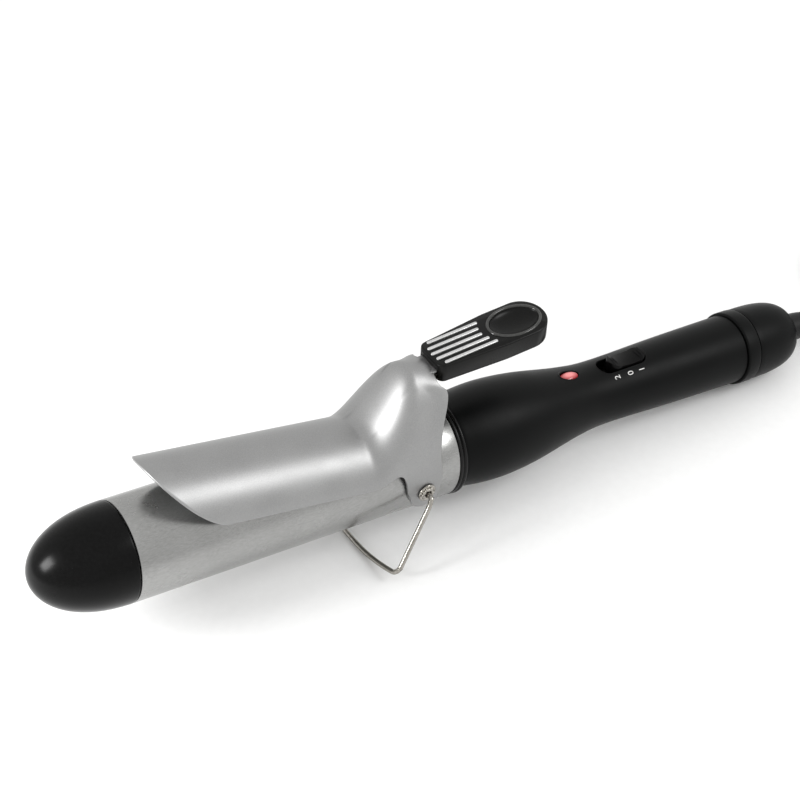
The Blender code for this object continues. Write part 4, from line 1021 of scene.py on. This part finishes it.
def lever_outline(steps=28):
    """Lever from above: narrow front with round corners, wide round rear end."""
    front_half = 7.7 * MM
    half = 9.6 * MM
    corner = 3.0 * MM
    front = -1.0 * MM
    centre = front + LEVER_LENGTH - half
    shoulder = front + (centre - front) * 0.7
    points = []
    for k in range(steps + 1):
        angle = math.radians(-90 + 180 * k / steps)
        points.append((centre + half * math.cos(angle), half * math.sin(angle)))
    points.append((shoulder, half))
    for start in (90, 180):
        side = 1 if start == 90 else -1
        for k in range(7):
            angle = math.radians(start + 15 * k)
            points.append((front + corner + corner * math.cos(angle),
                           side * (front_half - corner) + corner * math.sin(angle)))
    points.append((shoulder, -half))
    return points


print("lever, mm wide:", round(2 * max(y for x, y in lever_outline()) / MM, 1))

# %% Lever body
DISH_X = 36.8 * MM
lever = add_piece("lever", extruded("lever", lever_outline(), -LEVER_HEIGHT, 0, lever_place),
                  "clip", lever_black, ("thumb_lever",))
soften(lever, 0.8 * MM, 4, 50)
settle_mesh(lever)
shape = bmesh.new()
bmesh.ops.create_uvsphere(shape, u_segments=96, v_segments=64, radius=1.0)
shape.transform(Matrix.Diagonal((10.4 * MM, 6.9 * MM, 2.7 * MM, 1)))
dish = mesh_of(shape, "dish", lever_place @ Matrix.Translation((DISH_X, 0, 0.05 * MM)))
pocket = extruded("pocket", bar(1 * MM, 23 * MM, 11.4 * MM), -9 * MM, -3.0 * MM, lever_place)
rear_pocket = extruded("rear pocket", ellipse(DISH_X, 20 * MM, 14 * MM), -9 * MM, -4.7 * MM,
                       lever_place)
tongue_way = extruded("tongue way", bar(-4 * MM, 2 * MM, 10.6 * MM), -4.6 * MM, -3.0 * MM,
                      lever_place)
carve(lever, pocket, rear_pocket, dish, tongue_way)
crisp(lever.data, 33)
print("lever faces:", len(lever.data.polygons))

# %% Ribs and the rim of the dish
RIB_WIDTH = 1.35 * MM
RIM_SIZE = (21.9 * MM, 14.9 * MM)
for row, (across, start, end) in enumerate(((-6.0, 1.9, 25.4), (-3.0, 0.2, 23.6),
                                            (0.0, -0.2, 22.4), (3.0, 0.2, 22.8),
                                            (6.0, 1.9, 24.2))):
    rib = add_piece(f"lever_rib_{row + 1}", extruded(
        "rib", [(x, y + across * MM) for x, y in oval(start * MM, end * MM, RIB_WIDTH, 10)],
        -0.3 * MM, 0.6 * MM, lever_place), "clip", rib_foil)
    soften(rib, 0.36 * MM, 3, 50)
rim_line = [(x, y, -0.08 * MM) for x, y in ellipse(DISH_X, *RIM_SIZE, 96)]
rim = swept("dish_rim", rim_line, 0.66 * MM, lever_place, facets=6)
rim.splines[0].use_cyclic_u = True
rim.use_fill_caps = False
# Painted highlight: the rim's black is painted lighter than the lever's, for the light caught on
# its edge.
rim_painted_highlight = grained("dish rim painted highlight", (0.020, 0.020, 0.019), (0.045, 0.045, 0.043),
                    (0.12, 0.2), 2000, 0.000004)
add_piece("dish_rim", rim, "clip", rim_painted_highlight)
print("rim, mm:", [round(size / MM, 1) for size in RIM_SIZE])

# %% [markdown]
# ## Hinge eyelets and wire stand
# On each side a tubular rivet goes through ear and barrel. Its end is flared and split into
# petals, which is how such a rivet is closed. The stand is a single bent wire: its ends sit in
# the rivets' bores, and its bowed bar rests on the table. A swept tube along a smooth line of
# bend points makes it.

# %% Eyelets
FLANGE_RADIUS = 3.7
for name, node, turn in (("eyelet_near", "pivot_eyelet_left", -1),
                         ("eyelet_far", "pivot_eyelet_right", 1)):
    axis = hinge_place @ Matrix.Rotation(turn * math.pi / 2, 4, "Z")
    flange = turned(name, in_mm((11.7, 2.3), (20.7, 2.3), (20.7, 3.5), (20.85, FLANGE_RADIUS),
                                (21.15, FLANGE_RADIUS), (21.35, 3.5), (21.4, 2.9), (21.3, 1.4),
                                (11.7, 1.3)), axis, 64)
    add_piece(name, crisp(flange, 50), "iron", bright_nickel, (node,))
    petals = turned(name + "_petals", in_mm(
        (21.2, 1.35), (21.2, 2.5), (21.5, 2.75), (21.9, 2.6), (22.15, 2.1), (22.1, 1.6),
        (21.8, 1.35)), axis, 96,
        wave=lambda x, angle: 1 + 0.13 * blend(21.2 * MM, 21.6 * MM, x) * math.cos(6 * angle))
    add_piece(name + "_petals", petals, "iron", bright_nickel)
print("eyelet flange, mm across:", 2 * FLANGE_RADIUS)

# %% Wire stand
WIRE_RADIUS = 1.0
STAND_REACH = 35.2
BAR_CORNER = (29.0, 31.5)
BAR_FLAT = 5.0
half_stand = [(15.0, 0.0), (21.5, 0.0), (24.0, 0.35), (24.8, 1.4), (25.7, 3.4), (26.5, 6.5),
              (31.3, 26.0), (31.8, 28.2), (31.0, 30.3), BAR_CORNER]
for k in (1, 2):
    y = BAR_CORNER[0] + (BAR_FLAT - BAR_CORNER[0]) * k / 3
    bow = ((y - BAR_FLAT) / (BAR_CORNER[0] - BAR_FLAT)) ** 2
    half_stand.append((y, STAND_REACH - (STAND_REACH - BAR_CORNER[1]) * bow))
half_stand.append((BAR_FLAT, STAND_REACH))
stand_points = [(0, -y * MM, -reach * MM) for y, reach in half_stand]
stand_points += [(0, y * MM, -reach * MM) for y, reach in reversed(half_stand)]
add_piece("stand", swept("stand", smooth_line(stand_points), WIRE_RADIUS * MM, stand_place),
          "stand", bright_nickel, ("stand_wire",))
print("stand, mm wide:", 2 * (max(y for y, reach in half_stand) + WIRE_RADIUS))

# %% [markdown]
# ## Clip springs
# Two torsion springs sit on a pin under the hood and push the clip. Their lower legs lie along
# the barrel and are folded back where they meet the collar; that fold and a strip of the
# bracket are the only parts that show.

# %% Bracket and pin
STRIP_FRONT, STRIP_REAR, STRIP_WIDTH = 109.0 * MM, 133.6 * MM, 6.4 * MM
SPRING_PIN = (118.0, 24.4)
bracket = add_piece("bracket_strip", extruded(
    "bracket_strip", bar(STRIP_FRONT, STRIP_REAR, STRIP_WIDTH), 19.3 * MM, 20.1 * MM,
    iron_place), "iron", spring_nickel, ("spring_bracket",))
soften(bracket, 0.25 * MM, 2)
post = add_piece("bracket_post", extruded(
    "bracket_post", bar(112 * MM, 124 * MM, 2.4 * MM), 20.0 * MM, 27.4 * MM, iron_place),
    "iron", spring_nickel)
soften(post, 0.3 * MM, 2)
pin_place = (iron_place @ Matrix.Translation((SPRING_PIN[0] * MM, 0, SPRING_PIN[1] * MM))
             @ Matrix.Rotation(math.pi / 2, 4, "Z"))
add_piece("hinge_pin", turned("hinge_pin", in_mm(
    (-7.4, 0), (-7.4, 1.2), (-7.1, 1.5), (7.1, 1.5), (7.4, 1.2), (7.4, 0)), pin_place, 32),
    "iron", bright_nickel, ("spring_pin",))
print("bracket, mm long:", round((STRIP_REAR - STRIP_FRONT) / MM, 1))


# %% Spring line
COIL_RADIUS = 2.76
COIL_PITCH = 1.35
SPRING_TURNS = 3
LEG_HEIGHT = 19.7


def spring_line(side, steps=24):
    """Lower leg with its folded end, the turns round the pin, then the upper leg."""
    start = 4.1
    points = [(x, 5.6, LEG_HEIGHT) for x in (125.1, 128.0, 131.0, 132.1)]
    for k in range(1, 6):
        angle = math.pi * k / 6
        points.append((132.1 + 0.75 * math.sin(angle), 4.85 + 0.75 * math.cos(angle),
                       LEG_HEIGHT))
    points += [(x, start, LEG_HEIGHT) for x in (132.1, 129.0, 126.1)]
    first = math.radians(-62)
    for k in range(SPRING_TURNS * steps + 8):
        angle = first - 2 * math.pi * k / steps
        points.append((SPRING_PIN[0] + COIL_RADIUS * math.cos(angle),
                       start + COIL_PITCH * k / steps,
                       SPRING_PIN[1] + COIL_RADIUS * math.sin(angle)))
    last = points[-1]
    for share in (0.4, 0.7, 1.0):
        points.append((last[0] - 7 * share, last[1], last[2] + 6.5 * share))
    return [(x * MM, side * y * MM, z * MM) for x, y, z in points]


print("spring line points:", len(spring_line(1)))

# %% Springs
for name, node, side in (("spring_near", "clip_spring_left", -1),
                         ("spring_far", "clip_spring_right", 1)):
    spring = bpy.data.objects.new(name, mesh_from(
        swept(name, spring_line(side), 0.6 * MM, iron_place, facets=4)))
    bpy.context.scene.collection.objects.link(spring)
    spring.data.materials.clear()
    spring.data.materials.append(spring_nickel)
    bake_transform(spring)
    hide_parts(node)
print("spring turns:", SPRING_TURNS)

# %% [markdown]
# ## Pieces inside
# The heater, its aluminium blocks, the board and the wiring never show in use, but the model is
# whole, so each gets the finish of the real thing. Their CAD shapes are right as they are.

# %% Finishes of the inner pieces
inner_finishes = {
    "heat_spreader_upper": grained("extruded aluminium", (0.55, 0.55, 0.56),
                                   (0.72, 0.72, 0.74), (0.3, 0.45), 1500, 0.00002,
                                   (0.05, 1, 1), Metallic=1.0),
    "ptc_heater": grained("heater ceramic", (0.70, 0.66, 0.58), (0.84, 0.80, 0.72),
                          (0.5, 0.7), 2500, 0.00002),
    "control_board": grained("board lacquer", (0.01, 0.10, 0.03), (0.02, 0.20, 0.07),
                             (0.25, 0.4), 700, 0.00002),
    "led_lamp": grained("lamp epoxy", (0.5, 0.02, 0.02), (0.7, 0.05, 0.04), (0.15, 0.25),
                        900, 0.000004),
    "heater_lead_live": grained("silicone sleeve", (0.68, 0.65, 0.6), (0.82, 0.8, 0.75),
                                (0.5, 0.62), 1800, 0.00002),
    "thermal_fuse": bright_nickel,
    "switch_body": lever_black,
    "handle_screw": bright_nickel,
}
same_finish = {"heat_spreader_lower": "heat_spreader_upper",
               "heater_lead_neutral": "heater_lead_live",
               "lever_screw_front": "handle_screw", "lever_screw_rear": "handle_screw"}
for node, other in same_finish.items():
    inner_finishes[node] = inner_finishes[other]
for node, finish in inner_finishes.items():
    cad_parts[node].data.materials.clear()
    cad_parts[node].data.materials.append(finish)
print("inner pieces finished:", len(inner_finishes))

# %% [markdown]
# ## Table and light
# The table is a plain pale sheet. Two soft boxes light the iron: a broad one high on the right
# draws the long highlight down the clip, barrel and handle, and a small one beyond the tip gives
# the cap its spot. A pale world fills the rest, so that the dark handle keeps a soft edge.

# %% Table
table_finish = grained("table", (0.90, 0.90, 0.90), (0.92, 0.92, 0.92), (0.7, 0.85), 300,
                       0.00001)
TABLE_HALF = 4.0
shape = bmesh.new()
bmesh.ops.create_grid(shape, x_segments=1, y_segments=1, size=TABLE_HALF)
table = bpy.data.objects.new("table", mesh_of(shape, "table"))
table.data.materials.append(table_finish)
bpy.context.scene.collection.objects.link(table)
print("table, m:", 2 * TABLE_HALF)


# %% Lights
def soft_box(name, direction, distance, size, power, aim=(0.0, 0.0, 0.03)):
    light = bpy.data.lights.new(name, "AREA")
    light.shape = "RECTANGLE"
    light.size, light.size_y = size
    light.energy = power
    box = bpy.data.objects.new(name, light)
    direction = Vector(direction).normalized()
    box.location = Vector(aim) + direction * distance
    box.rotation_euler = direction.to_track_quat("Z", "Y").to_euler()
    bpy.context.scene.collection.objects.link(box)
    return box


soft_box("side box", (0.58, -0.45, 0.68), 1.3, (0.50, 0.50), 5.4)
soft_box("tip box", (-0.84, 0.14, 0.53), 0.25, (0.10, 0.10), 0.95, (-0.165, 0, 0.035))
print("lights:", len(bpy.data.lights))

# %% The room
world = bpy.data.worlds.new("room")
bpy.context.scene.world = world
world.use_nodes = True
world.node_tree.nodes["Background"].inputs["Color"].default_value = (1.0, 1.0, 0.99, 1.0)
world.node_tree.nodes["Background"].inputs["Strength"].default_value = 0.95
bpy.context.scene.view_settings.view_transform = "Standard"
print("room:", world.name)
